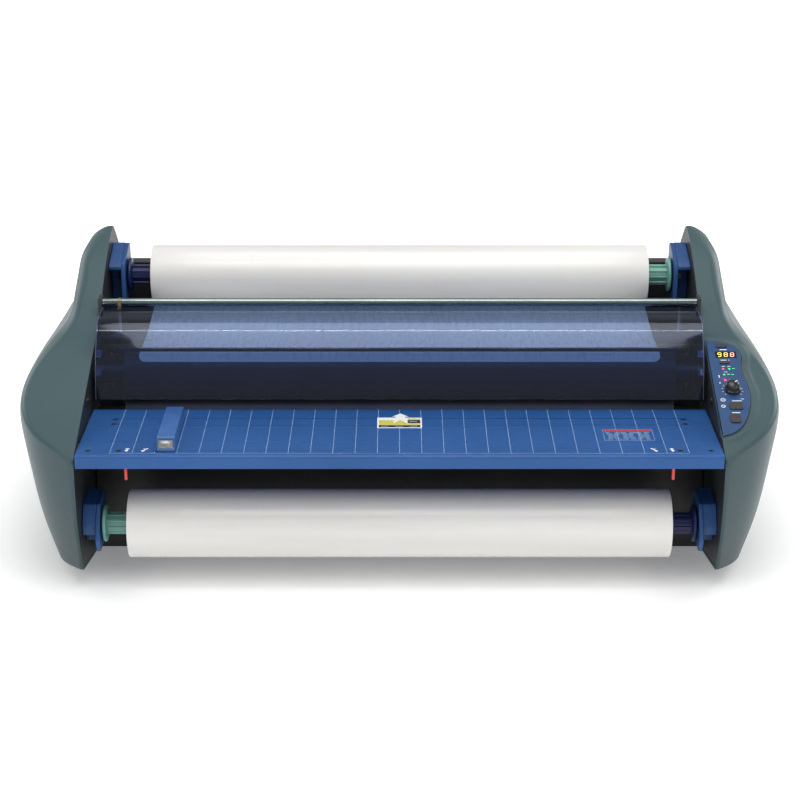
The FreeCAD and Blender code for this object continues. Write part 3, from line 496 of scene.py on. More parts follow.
# ================================================================ CAD nodes that stay
# Node: finish and edge rounding in millimetres.
KEPT_NODES = {
    "left_side_frame": (FRAME, 0.4), "right_side_frame": (FRAME, 0.4),
    "base_pan": (PAN, 0.6), "front_lower_panel": (PAN, 0.4), "rear_panel": (FRAME, 0.4),
    "rear_bridge": (FRAME, 0.5), "cross_rods": (DARK_STEEL, 0.4),
    "hinge_brackets": (FRAME, 0.6), "rubber_feet": (BLACK_RUBBER, 0.8),
    "frame_screws": (DARK_SCREW, 0.7), "drive_motor": (BLACK_PLASTIC, 0.8),
    "fan_frames": (BLACK_PLASTIC, 0.6), "left_fan_rotor": (BLACK_PLASTIC, 0.2),
    "right_fan_rotor": (BLACK_PLASTIC, 0.2), "power_inlet": (BLACK_PLASTIC, 0.5),
    "power_rocker": (KNOB_PLASTIC, 0.4), "power_supply": (ZINC, 0.6),
    "tube_heaters": (QUARTZ, 0.3), "upper_heat_roller": (DARK_STEEL, 0.4),
    "lower_heat_roller": (DARK_STEEL, 0.4), "upper_heat_sleeve": (SILICONE, 0.4),
    "lower_heat_sleeve": (SILICONE, 0.4), "upper_pull_roller": (GREY_RUBBER, 0.4),
    "lower_pull_roller": (GREY_RUBBER, 0.4), "roller_bearings": (BRONZE, 0.4),
    "upper_heat_gear": (NYLON, 0.25), "lower_heat_gear": (NYLON, 0.25),
    "upper_pull_gear": (NYLON, 0.25), "lower_pull_gear": (NYLON, 0.25),
    "transfer_gear": (NYLON, 0.25), "motor_pinion": (STEEL, 0.2),
    "upper_core": (CARD, 0.3), "lower_core": (CARD, 0.3),
    "feed_tray": (TRAY, 0.4), "film_markers": (MARKER, 0.9),
    "shield_rod": (CHROME, 0.5),
    "menu_key": (KEY_PLASTIC, 0.6), "heat_key": (KEY_PLASTIC, 0.6),
    "run_key": (KEY_PLASTIC, 0.7), "stop_key": (KEY_PLASTIC, 0.7),
    "control_board": (BOARD, 0.2),
}
# Points closer than this, in metres, are one point before the edges are rounded.
WELD = 1e-5


def finish_node(name, look, width):
    """New finish and rounded edges on a CAD node; its own mesh stays as packed."""
    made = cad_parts[name]
    if "custom_normal" in made.data.attributes:
        made.data.attributes.remove(made.data.attributes["custom_normal"])
    if not made.material_slots:
        made.data.materials.append(look)
    for slot in made.material_slots:
        slot.link = "OBJECT"
        slot.material = look
    made.data.polygons.foreach_set("use_smooth", [True] * len(made.data.polygons))
    weld = made.modifiers.new("weld", "WELD")
    weld.merge_threshold = WELD
    soften(made, width)


for node, (look, width) in KEPT_NODES.items():
    finish_node(node, look, width)

# ================================================================ side covers
# The covers' inner plane and sheet thickness.
HALF_INSIDE = machine_box("right_side_cover")[0].x
COVER_SHEET = 2.4
# Widest half-width and front edge at rising heights: (z, half-width, front y).
COVER_LEVELS = (
    (-10.0, 413.0, 38.0), (25.0, 423.5, 27.0), (60.0, 431.5, 12.0), (95.0, 437.5, 1.5),
    (130.0, 442.5, -1.5), (165.0, 449.0, -1.0), (195.0, 454.5, 2.0), (219.0, 450.0, 3.0),
    (239.0, 439.0, 3.0), (256.0, 418.0, 3.0), (270.0, 408.5, 3.0), (287.0, 410.5, 3.0),
    (308.0, 408.5, 3.0), (326.0, 410.0, 3.0), (340.0, 392.0, 3.0), (356.0, 364.5, 3.0))
# Plan curve of the nose: share of the half-width, distance behind the front edge.
NOSE_CURVE = ((-0.17, -10.0), (0.0, 0.0), (0.2, 12.0), (0.4, 25.0), (0.6, 40.0), (0.79, 62.0),
              (0.93, 92.0), (1.0, 130.0), (1.0, 180.0), (1.0, 250.0), (0.9, 350.0),
              (0.88, 540.0))
SLOPE_FOOT = (15.0, 181.5)
SLOPE_HEAD = (198.0, 251.0)
SLOPE = math.atan2(SLOPE_HEAD[1] - SLOPE_FOOT[1], SLOPE_HEAD[0] - SLOPE_FOOT[0])
TOE_LINE = ((-20.0, 35.6), (131.0, 6.0))
TAIL = (476.0, 6.0)
CREST = (398.0, 346.0)
REAR_CURVE = (TAIL, (495.9, 105.0), (487.0, 225.0), (436.0, 315.0), CREST)
TOP_CURVE = (CREST, (354.0, 334.0), (291.0, 301.0), (234.0, 266.0), SLOPE_HEAD)
NOSE_RIM = 3.0
# Rounding of the edge between rim and wall at places round the outline: ((y, z), radius).
EDGE_ROUNDING = (
    ((36, 21), 2.0), ((2, 100), 1.3), ((15, 181), 4.0), ((60, 199), 5.5), ((110, 218), 6.0),
    ((170, 240), 8.0), ((198, 251), 10.0), ((234, 266), 13.0), ((291, 301), 17.0),
    ((354, 334), 12.0), (CREST, 5.0), ((436, 315), 12.0), ((487, 225), 20.0),
    ((496, 105), 20.0), (TAIL, 5.0), ((300, 6), 4.0), ((131, 6), 3.0))

LEVELS = clamped_spline(COVER_LEVELS)
NOSE = clamped_spline(NOSE_CURVE)


def level_at(z):
    """The wall's reach outside the inner plane, and its front edge, at height z."""
    reach = np.interp(z, LEVELS[:, 0], LEVELS[:, 1]) - HALF_INSIDE
    return reach, np.interp(z, LEVELS[:, 0], LEVELS[:, 2])


def wall_x(y, z):
    """Half-width of the cover's outer wall at machine y and z."""
    reach, front = level_at(z)
    return HALF_INSIDE + reach * np.interp(y - front, NOSE[:, 1], NOSE[:, 0])


def slope_z(y):
    """Height of the straight slope's line at machine y."""
    return SLOPE_FOOT[1] + (y - SLOPE_FOOT[0]) * math.tan(SLOPE)


def front_edge(z):
    """Machine y at which the wall stands NOSE_RIM outside the inner plane."""
    reach, front = level_at(z)
    return front + np.interp(NOSE_RIM / reach, NOSE[:, 0], NOSE[:, 1])


def resampled(points, step):
    """Evenly spaced points round a closed line."""
    loop = np.vstack([points, points[:1]])
    along = np.concatenate([[0.0], np.cumsum(np.hypot(*np.diff(loop, axis=0).T))])
    count = int(along[-1] / step)
    where = np.arange(count) * along[-1] / count
    return np.stack([np.interp(where, along, loop[:, 0]), np.interp(where, along, loop[:, 1])], 1)


def smoothed(loop, step, width):
    """A closed line averaged along itself over about width."""
    reach = int(3 * width / step) + 1
    total, weight = 0.0, 0.0
    for shift in range(-reach, reach + 1):
        share = math.exp(-0.5 * (shift * step / width) ** 2)
        total = total + share * np.roll(loop, shift, axis=0)
        weight += share
    return total / weight


def cover_outline(step=1.0):
    """The cover's side outline as a closed line of (y, z), with its corners rounded."""
    toe_rise = (TOE_LINE[1][1] - TOE_LINE[0][1]) / (TOE_LINE[1][0] - TOE_LINE[0][0])
    front = [(front_edge(z), z) for z in np.linspace(176.0, 22.0, 40)]
    front = [(y, z) for y, z in front if z > TOE_LINE[0][1] + (y - TOE_LINE[0][0]) * toe_rise]
    corners = np.vstack([front, [TOE_LINE[1]], natural_spline(REAR_CURVE),
                         natural_spline(TOP_CURVE)[1:], [(8.0, slope_z(8.0))]])
    loop = resampled(corners, step)
    nose_top = np.array([4.0, slope_z(4.0)])
    near_nose = np.exp(-(np.hypot(*(loop - nose_top).T) / 30.0) ** 2)[:, None]
    fine, broad = smoothed(loop, step, 2.2), smoothed(loop, step, 9.0)
    return fine * (1 - near_nose) + broad * near_nose


def edge_radii(loop):
    """Rounding radius at every point of the outline."""
    marks = sorted((int(np.argmin(np.hypot(*(loop - np.array(place)).T))), radius)
                   for place, radius in EDGE_ROUNDING)
    where = [index for index, _ in marks]
    values = [radius for _, radius in marks]
    size = len(loop)
    where = [where[-1] - size] + where + [where[0] + size]
    values = [values[-1]] + values + [values[0]]
    return smoothed(np.interp(np.arange(size), where, values), 1.0, 6.0)


def inside(points, loop):
    """True for points within a closed line."""
    x, y = points[:, 0][:, None], points[:, 1][:, None]
    x0, y0 = loop[:, 0], loop[:, 1]
    x1, y1 = np.roll(x0, -1), np.roll(y0, -1)
    crossing = (y0 > y) != (y1 > y)
    with np.errstate(divide="ignore", invalid="ignore"):
        where = x0 + (y - y0) * (x1 - x0) / (y1 - y0)
    return (crossing & (x < where)).sum(1) % 2 == 1


def distance_to(points, line):
    """Distance from each point to a line of points."""
    gaps = np.hypot(points[:, 0][:, None] - line[:, 0], points[:, 1][:, None] - line[:, 1])
    return gaps.min(1)


def wall_fill(loop, pitch=4.5):
    """Triangles that fill the outer wall inside a closed line."""
    low, high = loop.min(0), loop.max(0)
    grid = np.stack(np.meshgrid(np.arange(low[0], high[0], pitch),
                                np.arange(low[1], high[1], pitch)), -1).reshape(-1, 2)
    grid = grid[inside(grid, loop)]
    grid = grid[distance_to(grid, loop) > 0.6 * pitch]
    points = [Vector(p) for p in np.vstack([loop, grid])]
    verts, _, faces, _, _, _ = delaunay_2d_cdt(points, [], [list(range(len(loop)))], 1, 1e-4)
    return verts, faces


# Rows of faces in the rim strip and in the rounded edge, and the spacing of points round them.
STRIP_STEPS = 22
ROUND_STEPS = 7
SHELL_STEP = 3.2
# The edge's rounding takes at most this share of the wall's reach, and leaves this much rim.
MOST_ROUNDING = 0.62
LEAST_RIM = 0.3


def cover_shell():
    """Outer skin of the right cover: rim strip, rounded edge and outer wall."""
    outline = cover_outline()
    loop = resampled(outline, SHELL_STEP)
    radii = np.interp(np.arange(len(loop)) / len(loop), np.arange(len(outline)) / len(outline),
                      edge_radii(outline))
    tangent = np.roll(loop, -1, axis=0) - np.roll(loop, 1, axis=0)
    tangent /= np.hypot(*tangent.T)[:, None]
    inward = np.stack([-tangent[:, 1], tangent[:, 0]], 1)
    if not inside(loop[:1] + inward[:1] * 3, loop)[0]:
        inward = -inward
    deep = loop + inward * radii[:, None]
    room = wall_x(deep[:, 0], deep[:, 1]) - HALF_INSIDE
    radii = np.minimum(radii, MOST_ROUNDING * np.maximum(room, 1.0))
    rim_x = wall_x(loop[:, 0], loop[:, 1]) - radii
    rim_x = np.maximum(rim_x, HALF_INSIDE + LEAST_RIM)
    rows = []
    for step in range(STRIP_STEPS):
        x = HALF_INSIDE + (rim_x - HALF_INSIDE) * step / STRIP_STEPS
        rows.append(np.column_stack([x, loop]))
    for step in range(ROUND_STEPS + 1):
        turn = math.pi / 2 * step / ROUND_STEPS
        place = loop + inward * (radii * (1 - math.cos(turn)))[:, None]
        x = wall_x(place[:, 0], place[:, 1]) - radii * (1 - math.sin(turn))
        rows.append(np.column_stack([np.maximum(x, rim_x), place]))
    count = len(loop)
    points = np.vstack(rows)
    faces = []
    for row in range(len(rows) - 1):
        faces += band(row * count, (row + 1) * count, count)
    verts, triangles = wall_fill(rows[-1][:, 1:])
    start = (len(rows) - 1) * count
    extra = np.array([tuple(v) for v in verts[count:]])
    fill = np.column_stack([wall_x(extra[:, 0], extra[:, 1]), extra])
    index = [start + i for i in range(count)] + [len(points) + i for i in range(len(fill))]
    faces += [tuple(index[i] for i in face) for face in triangles]
    return np.vstack([points, fill]), faces


def outward(made):
    """Turns an open skin's faces so that its wall looks away from the machine's middle."""
    mesh = made.data
    work = bmesh.new()
    work.from_mesh(mesh)
    bmesh.ops.recalc_face_normals(work, faces=work.faces)
    side = sum(face.normal.x * face.calc_area() * face.calc_center_median().x
               for face in work.faces)
    if side < 0:
        bmesh.ops.reverse_faces(work, faces=work.faces)
    work.to_mesh(mesh)
    work.free()


# ---------------------------------------------------------------- control panel's outline
PANEL_OUTLINE = ((372.4, 200.5), (391.0, 198.5), (404.0, 192.0), (411.5, 176.0), (408.5, 155.0),
                 (411.0, 130.0), (413.0, 107.0), (408.0, 80.0), (397.0, 55.0), (385.0, 43.5),
                 (372.4, 38.5))
# The raised bead: distance from the overlay's edge, width, height, and how far off the slope's
# plane it fades out. WINDOW_RIM is the cover's ledge under the overlay's edge.
BEAD_AWAY = 6.5
BEAD_WIDTH = 3.4
BEAD_HEIGHT = 2.0
BEAD_FADE = 4.0
WINDOW_RIM = 3.0


def panel_edge(grow=0.0, count=90):
    """The overlay's outline as machine (x, y), grown outwards except at its straight side."""
    line = natural_spline(PANEL_OUTLINE, count)
    return line - grow * normals_of(line)


def with_bead(points):
    """Raises a rounded bead on the slope round the control panel."""
    points = np.array(points)
    lift = np.abs(points[:, 2] - slope_z(points[:, 1]))
    line = panel_edge()
    away = distance_to(points[:, :2], line)
    height = BEAD_HEIGHT * np.exp(-((away - BEAD_AWAY) / BEAD_WIDTH) ** 2)
    in_panel = inside(points[:, :2], line)
    height[in_panel] = 0.0
    height *= np.clip(1 - lift / BEAD_FADE, 0, 1)
    points[:, 1] -= height * math.sin(SLOPE)
    points[:, 2] += height * math.cos(SLOPE)
    return points


def slope_point(x, y, lift=0.0, along=0.0):
    """A machine point on the slope at (x, y), lifted off it and moved up along it."""
    return (x, y + along * math.cos(SLOPE) - lift * math.sin(SLOPE),
            slope_z(y) + along * math.sin(SLOPE) + lift * math.cos(SLOPE))


def slope_plate(outline, low, high):
    """A plate on the slope from machine (x, y) outline points, between two lifts."""
    return between(*[[slope_point(x, y, lift) for x, y in outline] for lift in (low, high)])


def rounded_box(x, y, width, depth, radius, steps=4):
    """Outline of a rounded rectangle on the slope; depth runs along the slope."""
    outline = []
    for cx, cy, start in ((1, 1, 0), (-1, 1, 90), (-1, -1, 180), (1, -1, 270)):
        for step in range(steps + 1):
            angle = math.radians(start + 90 * step / steps)
            u = cx * (width / 2 - radius) + radius * math.cos(angle)
            v = cy * (depth / 2 - radius) + radius * math.sin(angle)
            outline.append((x + u, y + v * math.cos(SLOPE)))
    return outline


def side_covers():
    """Both covers; the right one has the panel's bead and a window under the panel."""
    points, faces = cover_shell()
    left = piece("left_cover_shell", "chassis", flipped((points, faces)), COVER,
                 ["left_side_cover"], closed=False)
    right = piece("right_cover_shell", "chassis", (with_bead(points), faces), COVER,
                  ["right_side_cover"], closed=False)
    for cover in (left, right):
        outward(cover)
        shell = cover.modifiers.new("sheet", "SOLIDIFY")
        shell.thickness = COVER_SHEET * MM
        shell.offset = -1.0
        bake(cover)
        cover.data.set_sharp_from_angle(angle=math.radians(50))
    cutter = piece("window_cutter", "chassis",
                   slope_plate(list(panel_edge(-WINDOW_RIM)), -14.0, 8.0), COVER)
    cut = right.modifiers.new("window", "BOOLEAN")
    cut.object = cutter
    cut.solver = "EXACT"
    bpy.context.view_layer.update()
    bake(right)
    bpy.data.objects.remove(cutter)


side_covers()

# ================================================================ film rolls and webs
# The step where the film's tail ends is deeper than the film, so that it shows.
FILM_THICKNESS = 0.12
SEAM_STEP = 0.35
END_RINGS = 30


def wound_film(name, body, node):
    """Wound roll with rounded edges, slightly uneven layers on its ends and its tail's step."""
    y, z, radius, half = axis_of(node)
    core = (machine_box(node.replace("film", "core"))[1].z - z) + 0.02
    end = []
    for ring in range(END_RINGS):
        at = core + (radius - 0.9 - core) * ring / (END_RINGS - 1)
        end.append((half - 0.45 + 0.22 * math.sin(2.1 * ring) + 0.12 * math.cos(5.3 * ring), at))
    right = end + [(half - 0.55, radius - 0.5), (half - 0.9, radius - 0.15), (half - 1.6, radius)]
    middle = [(half * share, radius) for share in (0.75, 0.5, 0.25, 0, -0.25, -0.5, -0.75)]
    profile = right + middle + [(-x, r) for x, r in reversed(right)]

    def spiral(_, away, angle):
        return away - SEAM_STEP * angle / (2 * math.pi) * (away > radius - 1.0)

    shape = turned(profile, y, z, count=144, ring=True, shape=spiral)
    piece(name, body, shape, film_look(name + "_finish", (y, z)), [node])


def web_line(circles, first_sweep, last_angle):
    """A film web's path as (y, z) points. Each circle is (y, z, radius, turn), turn 1 where the
    web runs counter-clockwise round it. The web starts first_sweep before it leaves the first
    circle and ends at last_angle on the last one."""
    headings = []
    for (y0, z0, r0, s0), (y1, z1, r1, s1) in zip(circles, circles[1:]):
        apart = math.hypot(y1 - y0, z1 - z0)
        headings.append(math.atan2(z1 - z0, y1 - y0) - math.asin((s1 * r1 - s0 * r0) / apart))
    path = []
    for index, (y, z, radius, turn) in enumerate(circles):
        last = index == len(headings)
        leave = last_angle if last else headings[index] - turn * math.pi / 2
        enter = headings[index - 1] - turn * math.pi / 2 if index else leave - turn * first_sweep
        sweep = (turn * (leave - enter)) % (2 * math.pi)
        steps = max(2, int(sweep / 0.06))
        for step in range(steps + 1):
            angle = enter + turn * sweep * step / steps
            path.append((y + radius * math.cos(angle), z + radius * math.sin(angle)))
    return np.array(path)


def web_strip(name, path, half, corner, look):
    """A thin sheet of film along a path, as wide as the roll, with its free corners rounded."""
    along = np.concatenate([[0.0], np.cumsum(np.hypot(*np.diff(path, axis=0).T))])
    edge = [corner * (1 - math.cos(math.radians(turn))) for turn in range(0, 91, 10)]
    columns = [-half + away for away in edge] + [half - away for away in reversed(edge)]
    count = 160
    points = []
    for x in columns:
        away = min(half - abs(x), corner)
        short = corner - math.sqrt(corner ** 2 - (corner - away) ** 2)
        where = np.linspace(0.0, along[-1] - short, count)
        points += [(x, y, z) for y, z in zip(np.interp(where, along, path[:, 0]),
                                             np.interp(where, along, path[:, 1]))]
    faces = []
    for column in range(len(columns) - 1):
        here, there = column * count, (column + 1) * count
        faces += [(here + i, here + i + 1, there + i + 1, there + i) for i in range(count - 1)]
    web = piece(name, "chassis", (points, faces), look, closed=False)
    sheet = web.modifiers.new("sheet", "SOLIDIFY")
    sheet.thickness = FILM_THICKNESS * MM
    sheet.offset = 0.0


# The bar that the web runs over: y, z and radius. WEB_START is how far round the roll the web
# already lies, and WEB_END the angle on the roller where it stops.
IDLER = (270.0, 232.0, 6.0)
WEB_START = 0.5
WEB_END = math.radians(132.0)
WEB_CORNER = 9.0


def film_web():
    """The upper web: off the roll's underside, over its bar and down the front of the roller."""
    gap = FILM_THICKNESS / 2 + 0.05
    y, z, radius, half = axis_of("upper_film")
    bar_y, bar_z, bar_radius = IDLER
    roller_y, roller_z, roller_radius, _ = axis_of("upper_heat_sleeve")
    path = web_line([(y, z, radius + gap, -1), (bar_y, bar_z, bar_radius + gap, 1),
                     (roller_y, roller_z, roller_radius + gap, 1)], WEB_START, WEB_END)
    web_strip("upper_film_web", path, half - 1.0, WEB_CORNER, PAINTED_GLOW_WEB)


# The web's emission is painted light: a glow that keeps the film bright where little light reaches
# it under the shield.
PAINTED_GLOW_WEB = surface("film_web", (0.40, 0.395, 0.375), (0.46, 0.455, 0.435), 0.28, 0.05, mottle=12.0,
              grain=200.0, bump=0.05, stretch=(1, 0.15, 0.15), Coat_Weight=0.3,
              Emission_Color=(0.80, 0.79, 0.76, 1.0), Emission_Strength=0.22)
wound_film("upper_film_wound", "upper_film_roll", "upper_film")
wound_film("lower_film_wound", "lower_film_roll", "lower_film")
film_web()


PLUG_RIBS = 10
RIB_HEIGHT = 1.7


def ribbed_plug(name, node, look, side):
    """Core plug: a ribbed hub, a rounded flange and a spindle, turned as one piece."""
    low, high = machine_box(node)
    y, z, flange, _ = axis_of(node)
    inner, outer = sorted((abs(low.x), abs(high.x)))
    hub, hub_start = 13.2, inner + 32.0
    flange_start = outer - 18.0
    profile = [(inner, 9.0), (inner + 0.8, 11.0), (hub_start - 0.6, 12.4), (hub_start, hub),
               (flange_start - 1.2, hub), (flange_start - 0.2, hub + 1.0),
               (flange_start, flange - 1.6), (flange_start + 0.5, flange - 0.4),
               (flange_start + 1.4, flange), (flange_start + 2.8, flange),
               (flange_start + 3.6, flange - 0.4), (flange_start + 4, flange - 1.6),
               (flange_start + 4, 7.0), (flange_start + 4.4, 6.0), (outer - 0.8, 6.0),
               (outer, 5.2)]

    def ribbed(x, away, angle):
        if x > flange_start - 0.9 or x < inner + 0.4:
            return away
        phase = (angle * PLUG_RIBS / (2 * math.pi)) % 1.0
        off_rib = min(phase, 1 - phase) * 2 * math.pi * away / PLUG_RIBS
        return away - RIB_HEIGHT * min(1.0, max(0.0, (off_rib - 0.6) / 0.4))

    shape = on_side(side, turned(profile, y, z, count=192, shape=ribbed))
    body = node.split("_")[0] + "_film_roll"
    soften(piece(name, body, shape, look, [node]), 0.25)


for height, finishes in (("upper", ((PLUG_BLUE, "plug_blue"), (PLUG_GREEN, "plug_green"))),
                         ("lower", ((PLUG_GREEN, "plug_green"), (PLUG_BLUE, "plug_blue")))):
    for (side_name, side), (look, slot) in zip(SIDES, finishes):
        start = "%s_%s_" % (height, side_name)
        ribbed_plug(start + "core_plug", start + "plug", look, side)

# ================================================================ roll arms
# Each arm's cheek, cap and foot as (y, z) outlines; CHEEK is the cheek's thickness.
CHEEK = 5.2
UPPER_CHEEK = ((334.5, 258.2), (334.5, 300), (341, 311), (388, 325), (396, 323), (398.8, 317),
               (398.8, 258.2))
UPPER_CAP = ((336, 303.0), (336, 307.5), (341, 311), (390, 325.2), (398.8, 320), (398.8, 313),
             (384, 312))
UPPER_FOOT = ((362, 258.2), (362, 313), (398.6, 314), (398.6, 258.2))
LOWER_CHEEK = ((24.5, 64), (30, 82), (47, 103), (86, 106.5), (97.5, 84), (90, 50.5), (33, 48.5))
LOWER_CAP = ((33, 69), (32.5, 81), (46.5, 102.8), (86, 106.8), (97, 88), (90, 78))
LOWER_FOOT = ((58, 52), (58, 84), (94, 84), (88.5, 52))


def arm_shape(cheek, cap, foot, seat):
    """A cheek that carries the spindle, with a thick cap and foot joining it to the frame."""
    x0, x1 = seat
    return together(prism(cheek, x0, x0 + CHEEK), prism(cap, x0 + CHEEK - 0.4, x1),
                    prism(foot, x0 + CHEEK - 0.4, x1))


def roll_arms():
    """The four arms, each with a black bush in its seat."""
    for height, outlines in (("upper", (UPPER_CHEEK, UPPER_CAP, UPPER_FOOT)),
                             ("lower", (LOWER_CHEEK, LOWER_CAP, LOWER_FOOT))):
        y, z, _, _ = axis_of(height + "_film")
        for side_name, side in SIDES:
            node = "%s_%s_roll_arm" % (height, side_name)
            seat = sorted(abs(corner.x) for corner in machine_box(node))
            shape = on_side(side, arm_shape(*outlines, seat))
            soften(piece(node + "_casting", "chassis", shape, ARM, [node]), 1.3, 3)
            start = seat[0]
            boss = turned([(start - 0.2, 8.4), (start + 0.1, 9.4), (start + 1.2, 9.6),
                           (start + 3, 9.6), (start + 3, 6.2), (start - 0.2, 6.2)], y, z,
                          count=64, ring=True)
            piece(node + "_bush", "chassis", on_side(side, boss), BLACK_PLASTIC)


roll_arms()

# ================================================================ shield
# The shield's sheet: thickness, half-length and middle line from the rod down to the lip.
SHEET = 3.0
SHIELD_HALF = machine_box("heat_shield")[1].x
SHIELD_LINE = ((251.0, 281.8), (226.0, 280.7), (205.0, 279.8), (196.5, 278.7), (189.6, 275.9),
               (184.0, 271.1), (178.0, 263.2), (169.0, 249.5), (163.5, 239.2), (156.6, 216.0),
               (151.5, 195.0))


def shield_shape():
    """The bent sheet, a touch wavy along its length as heat-formed acrylic is."""
    line = natural_spline(SHIELD_LINE, 70)
    normal = normals_of(line)
    columns = np.linspace(-SHIELD_HALF, SHIELD_HALF, 61)
    points = []
    count = len(line)
    fade = np.sin(np.linspace(0, math.pi, count)) ** 2
    for x in columns:
        wave = 0.12 * np.sin(x / 37.0 + 0.6) + 0.09 * np.sin(x / 91.0) + 0.05 * np.sin(x / 14.0)
        middle = line + normal * (wave * fade)[:, None]
        for side in (0.5, -0.5):
            points += [(x, y, z) for y, z in middle + normal * SHEET * side]
    faces = []
    for column in range(len(columns) - 1):
        here, there = column * 2 * count, (column + 1) * 2 * count
        for i in range(count - 1):
            faces.append((here + i, here + i + 1, there + i + 1, there + i))
            faces.append((here + count + i, there + count + i, there + count + i + 1,
                          here + count + i + 1))
        for i in (0, count - 1):
            faces.append((here + i, there + i, there + count + i, here + count + i))
    for start in (0, (len(columns) - 1) * 2 * count):
        faces += [(start + i, start + i + 1, start + count + i + 1, start + count + i)
                  for i in range(count - 1)]
    return points, faces


def shield_ends():
    """Polished ends of the sheet, each with two short ticks where its stiffener is glued on."""
    line = natural_spline(SHIELD_LINE, 70)
    half_sheet = normals_of(line) * 0.52 * SHEET
    rim = np.vstack([line + half_sheet, (line - half_sheet)[::-1]])
    for side_name, side in SIDES:
        edge = prism([tuple(place) for place in rim], SHIELD_HALF - 0.9, SHIELD_HALF - 0.05)
        ticks = [prism([(y + 1.5, z - 0.8), (y + 10.5, z + 4.2), (y + 10.5, z + 5.4),
                        (y + 1.5, z + 0.4)], SHIELD_HALF - 7.0, SHIELD_HALF - 0.5)
                 for y, z in ((159.6, 222.0), (166.0, 244.0))]
        piece("shield_end_" + side_name, "heat_shield", on_side(side, together(edge, *ticks)),
              POLISHED_EDGE)


CLAMP_X = -345.0
CLAMP_HALF = 2.2


def rod_clamp():
    """Small brass clamp that holds the sheet on its rod near the left end."""
    y, z, radius, _ = axis_of("shield_rod")
    x0, x1 = CLAMP_X - CLAMP_HALF, CLAMP_X + CLAMP_HALF
    ring = turned([(x0, radius + 0.02), (x0, radius + 0.9), (x1, radius + 0.9),
                   (x1, radius + 0.02)], y, z, count=48, ring=True)
    foot = prism([(y - radius - 8.0, z - radius - 0.4), (y - 1.0, z - radius - 0.1),
                  (y - radius - 0.2, z + 0.6), (y - radius - 1.2, z + 0.6),
                  (y - radius - 1.6, z - radius + 1.0), (y - radius - 8.0, z - radius + 0.6)],
                 x0, x1)
    soften(piece("shield_rod_clamp", "heat_shield", together(ring, foot), BRASS), 0.25)


soften(piece("shield_sheet", "heat_shield", shield_shape(), SHIELD, ["heat_shield"]), 0.5)
shield_ends()
rod_clamp()

# ================================================================ dark bar as painted shade, and strip in the film's path
# Dark bar in front of the upper roller, painted shade for the web's shadow: y, z and radius.
SHADE_BAR = (185.5, 247.2, 2.6)


def shade_bar():
    """Thin dark bar between the shield and the upper roller: painted shade, standing in for the
    shadow on the web.
    """
    y, z, radius = SHADE_BAR
    reach = axis_of("upper_heat_sleeve")[3] + 4.0
    shape = turned([(-reach, radius - 0.4), (-reach + 0.4, radius), (reach - 0.4, radius),
                    (reach, radius - 0.4)], y, z, count=32)
    piece("painted_shade_bar", "chassis", shape, DARK_SCREW)


def exit_deflector():
    """Thin strip that hangs from the rear bridge and keeps the web down at the exit."""
    low, high = machine_box("rear_bridge")
    shape = prism([(low.y + 0.1, low.z - 15.5), (low.y + 1.3, low.z - 15.5),
                   (low.y + 1.3, low.z + 3.0), (low.y + 0.1, low.z + 3.0)], low.x, high.x)
    soften(piece("exit_deflector_strip", "chassis", shape, PAN), 0.2)


shade_bar()
exit_deflector()

# ================================================================ tray details
TRAY_TOP = machine_box("feed_tray")[1].z
TRAY_SCREWS = ((338.0, 119.0), (338.0, 103.0), (356.0, 16.4), (321.0, 16.4))
# A screw's head as (radius, height over the tray) from its rim to the socket's bottom, and
# last the foot of the head.
SCREW_RINGS = ((3.0, -0.15), (2.6, -0.02), (1.5, -0.02), (1.35, -0.75), (1.6, -1.3))


def flat_shape(outline, low, high):
    """A plate on the tray from machine (x, y) outline points."""
    return between(*[[(x, y, z) for x, y in outline] for z in (low, high)])


def tray_bar(x0, y0, x1, y1, layer=1):
    """A printed rectangle on the tray; later layers lie on earlier ones."""
    return flat_shape([(x0, y0), (x1, y0), (x1, y1), (x0, y1)], TRAY_TOP + 0.01,
                      TRAY_TOP + 0.05 * layer)


def tray_screws():
    """Countersunk socket screws in the tray's seats."""
    count = 24
    last = len(SCREW_RINGS) - 1
    for side_name, side in SIDES:
        for index, (x, y) in enumerate(TRAY_SCREWS):
            points = [(side * x + u, y + v, TRAY_TOP + height)
                      for radius, height in SCREW_RINGS for u, v in circle(radius, count)]
            faces = []
            for row in range(last - 1):
                faces += band(row * count, (row + 1) * count, count)
            faces.append(tuple(range((last - 1) * count, last * count)))
            faces += band(0, last * count, count)
            faces.append(tuple(range(last * count, (last + 1) * count)))
            piece("tray_screw_%s_%d" % (side_name, index), "feed_tray", (points, faces),
                  DARK_SCREW)


def centre_label():
    """Centring label with an arrow that points in the feed direction."""
    piece("centre_label_border", "feed_tray", tray_bar(-26.5, 89, 26.5, 124, 1), WHITE_INK)
    piece("centre_label_field", "feed_tray",
          together(tray_bar(-24.6, 99.5, 9.5, 115, 2), tray_bar(9.4, 99.5, 24.6, 104, 2),
                   tray_bar(9.4, 117, 24.6, 121.5, 2)), YELLOW_INK)
    piece("centre_label_bars", "feed_tray",
          together(tray_bar(-24.6, 91.5, 24.6, 98.8, 2), tray_bar(9.8, 105, 24.6, 116, 2)),
          BLACK_INK)
    dashes = [tray_bar(x, 94.2, x + 9, 96, 3) for x in (-22, -5, 12)]
    dashes.append(tray_bar(12, 109.5, 21, 111.5, 3))
    piece("centre_label_dashes", "feed_tray", together(*dashes), PALE_INK)
    arrow = [(0.8, 138), (10.5, 127.2), (6.2, 127.2), (9.5, 104), (0.8, 116), (-8, 104),
             (-4.6, 127.2), (-9, 127.2)]
    piece("centre_label_arrow", "feed_tray",
          flat_shape(arrow, TRAY_TOP + 0.01, TRAY_TOP + 0.2), WHITE_INK)
    roof = [(0.8, 116), (9.5, 104), (6.5, 102.5), (-4.9, 102.5), (-8, 104)]
    piece("centre_label_roof", "feed_tray",
          flat_shape(roof, TRAY_TOP + 0.01, TRAY_TOP + 0.17), YELLOW_INK)


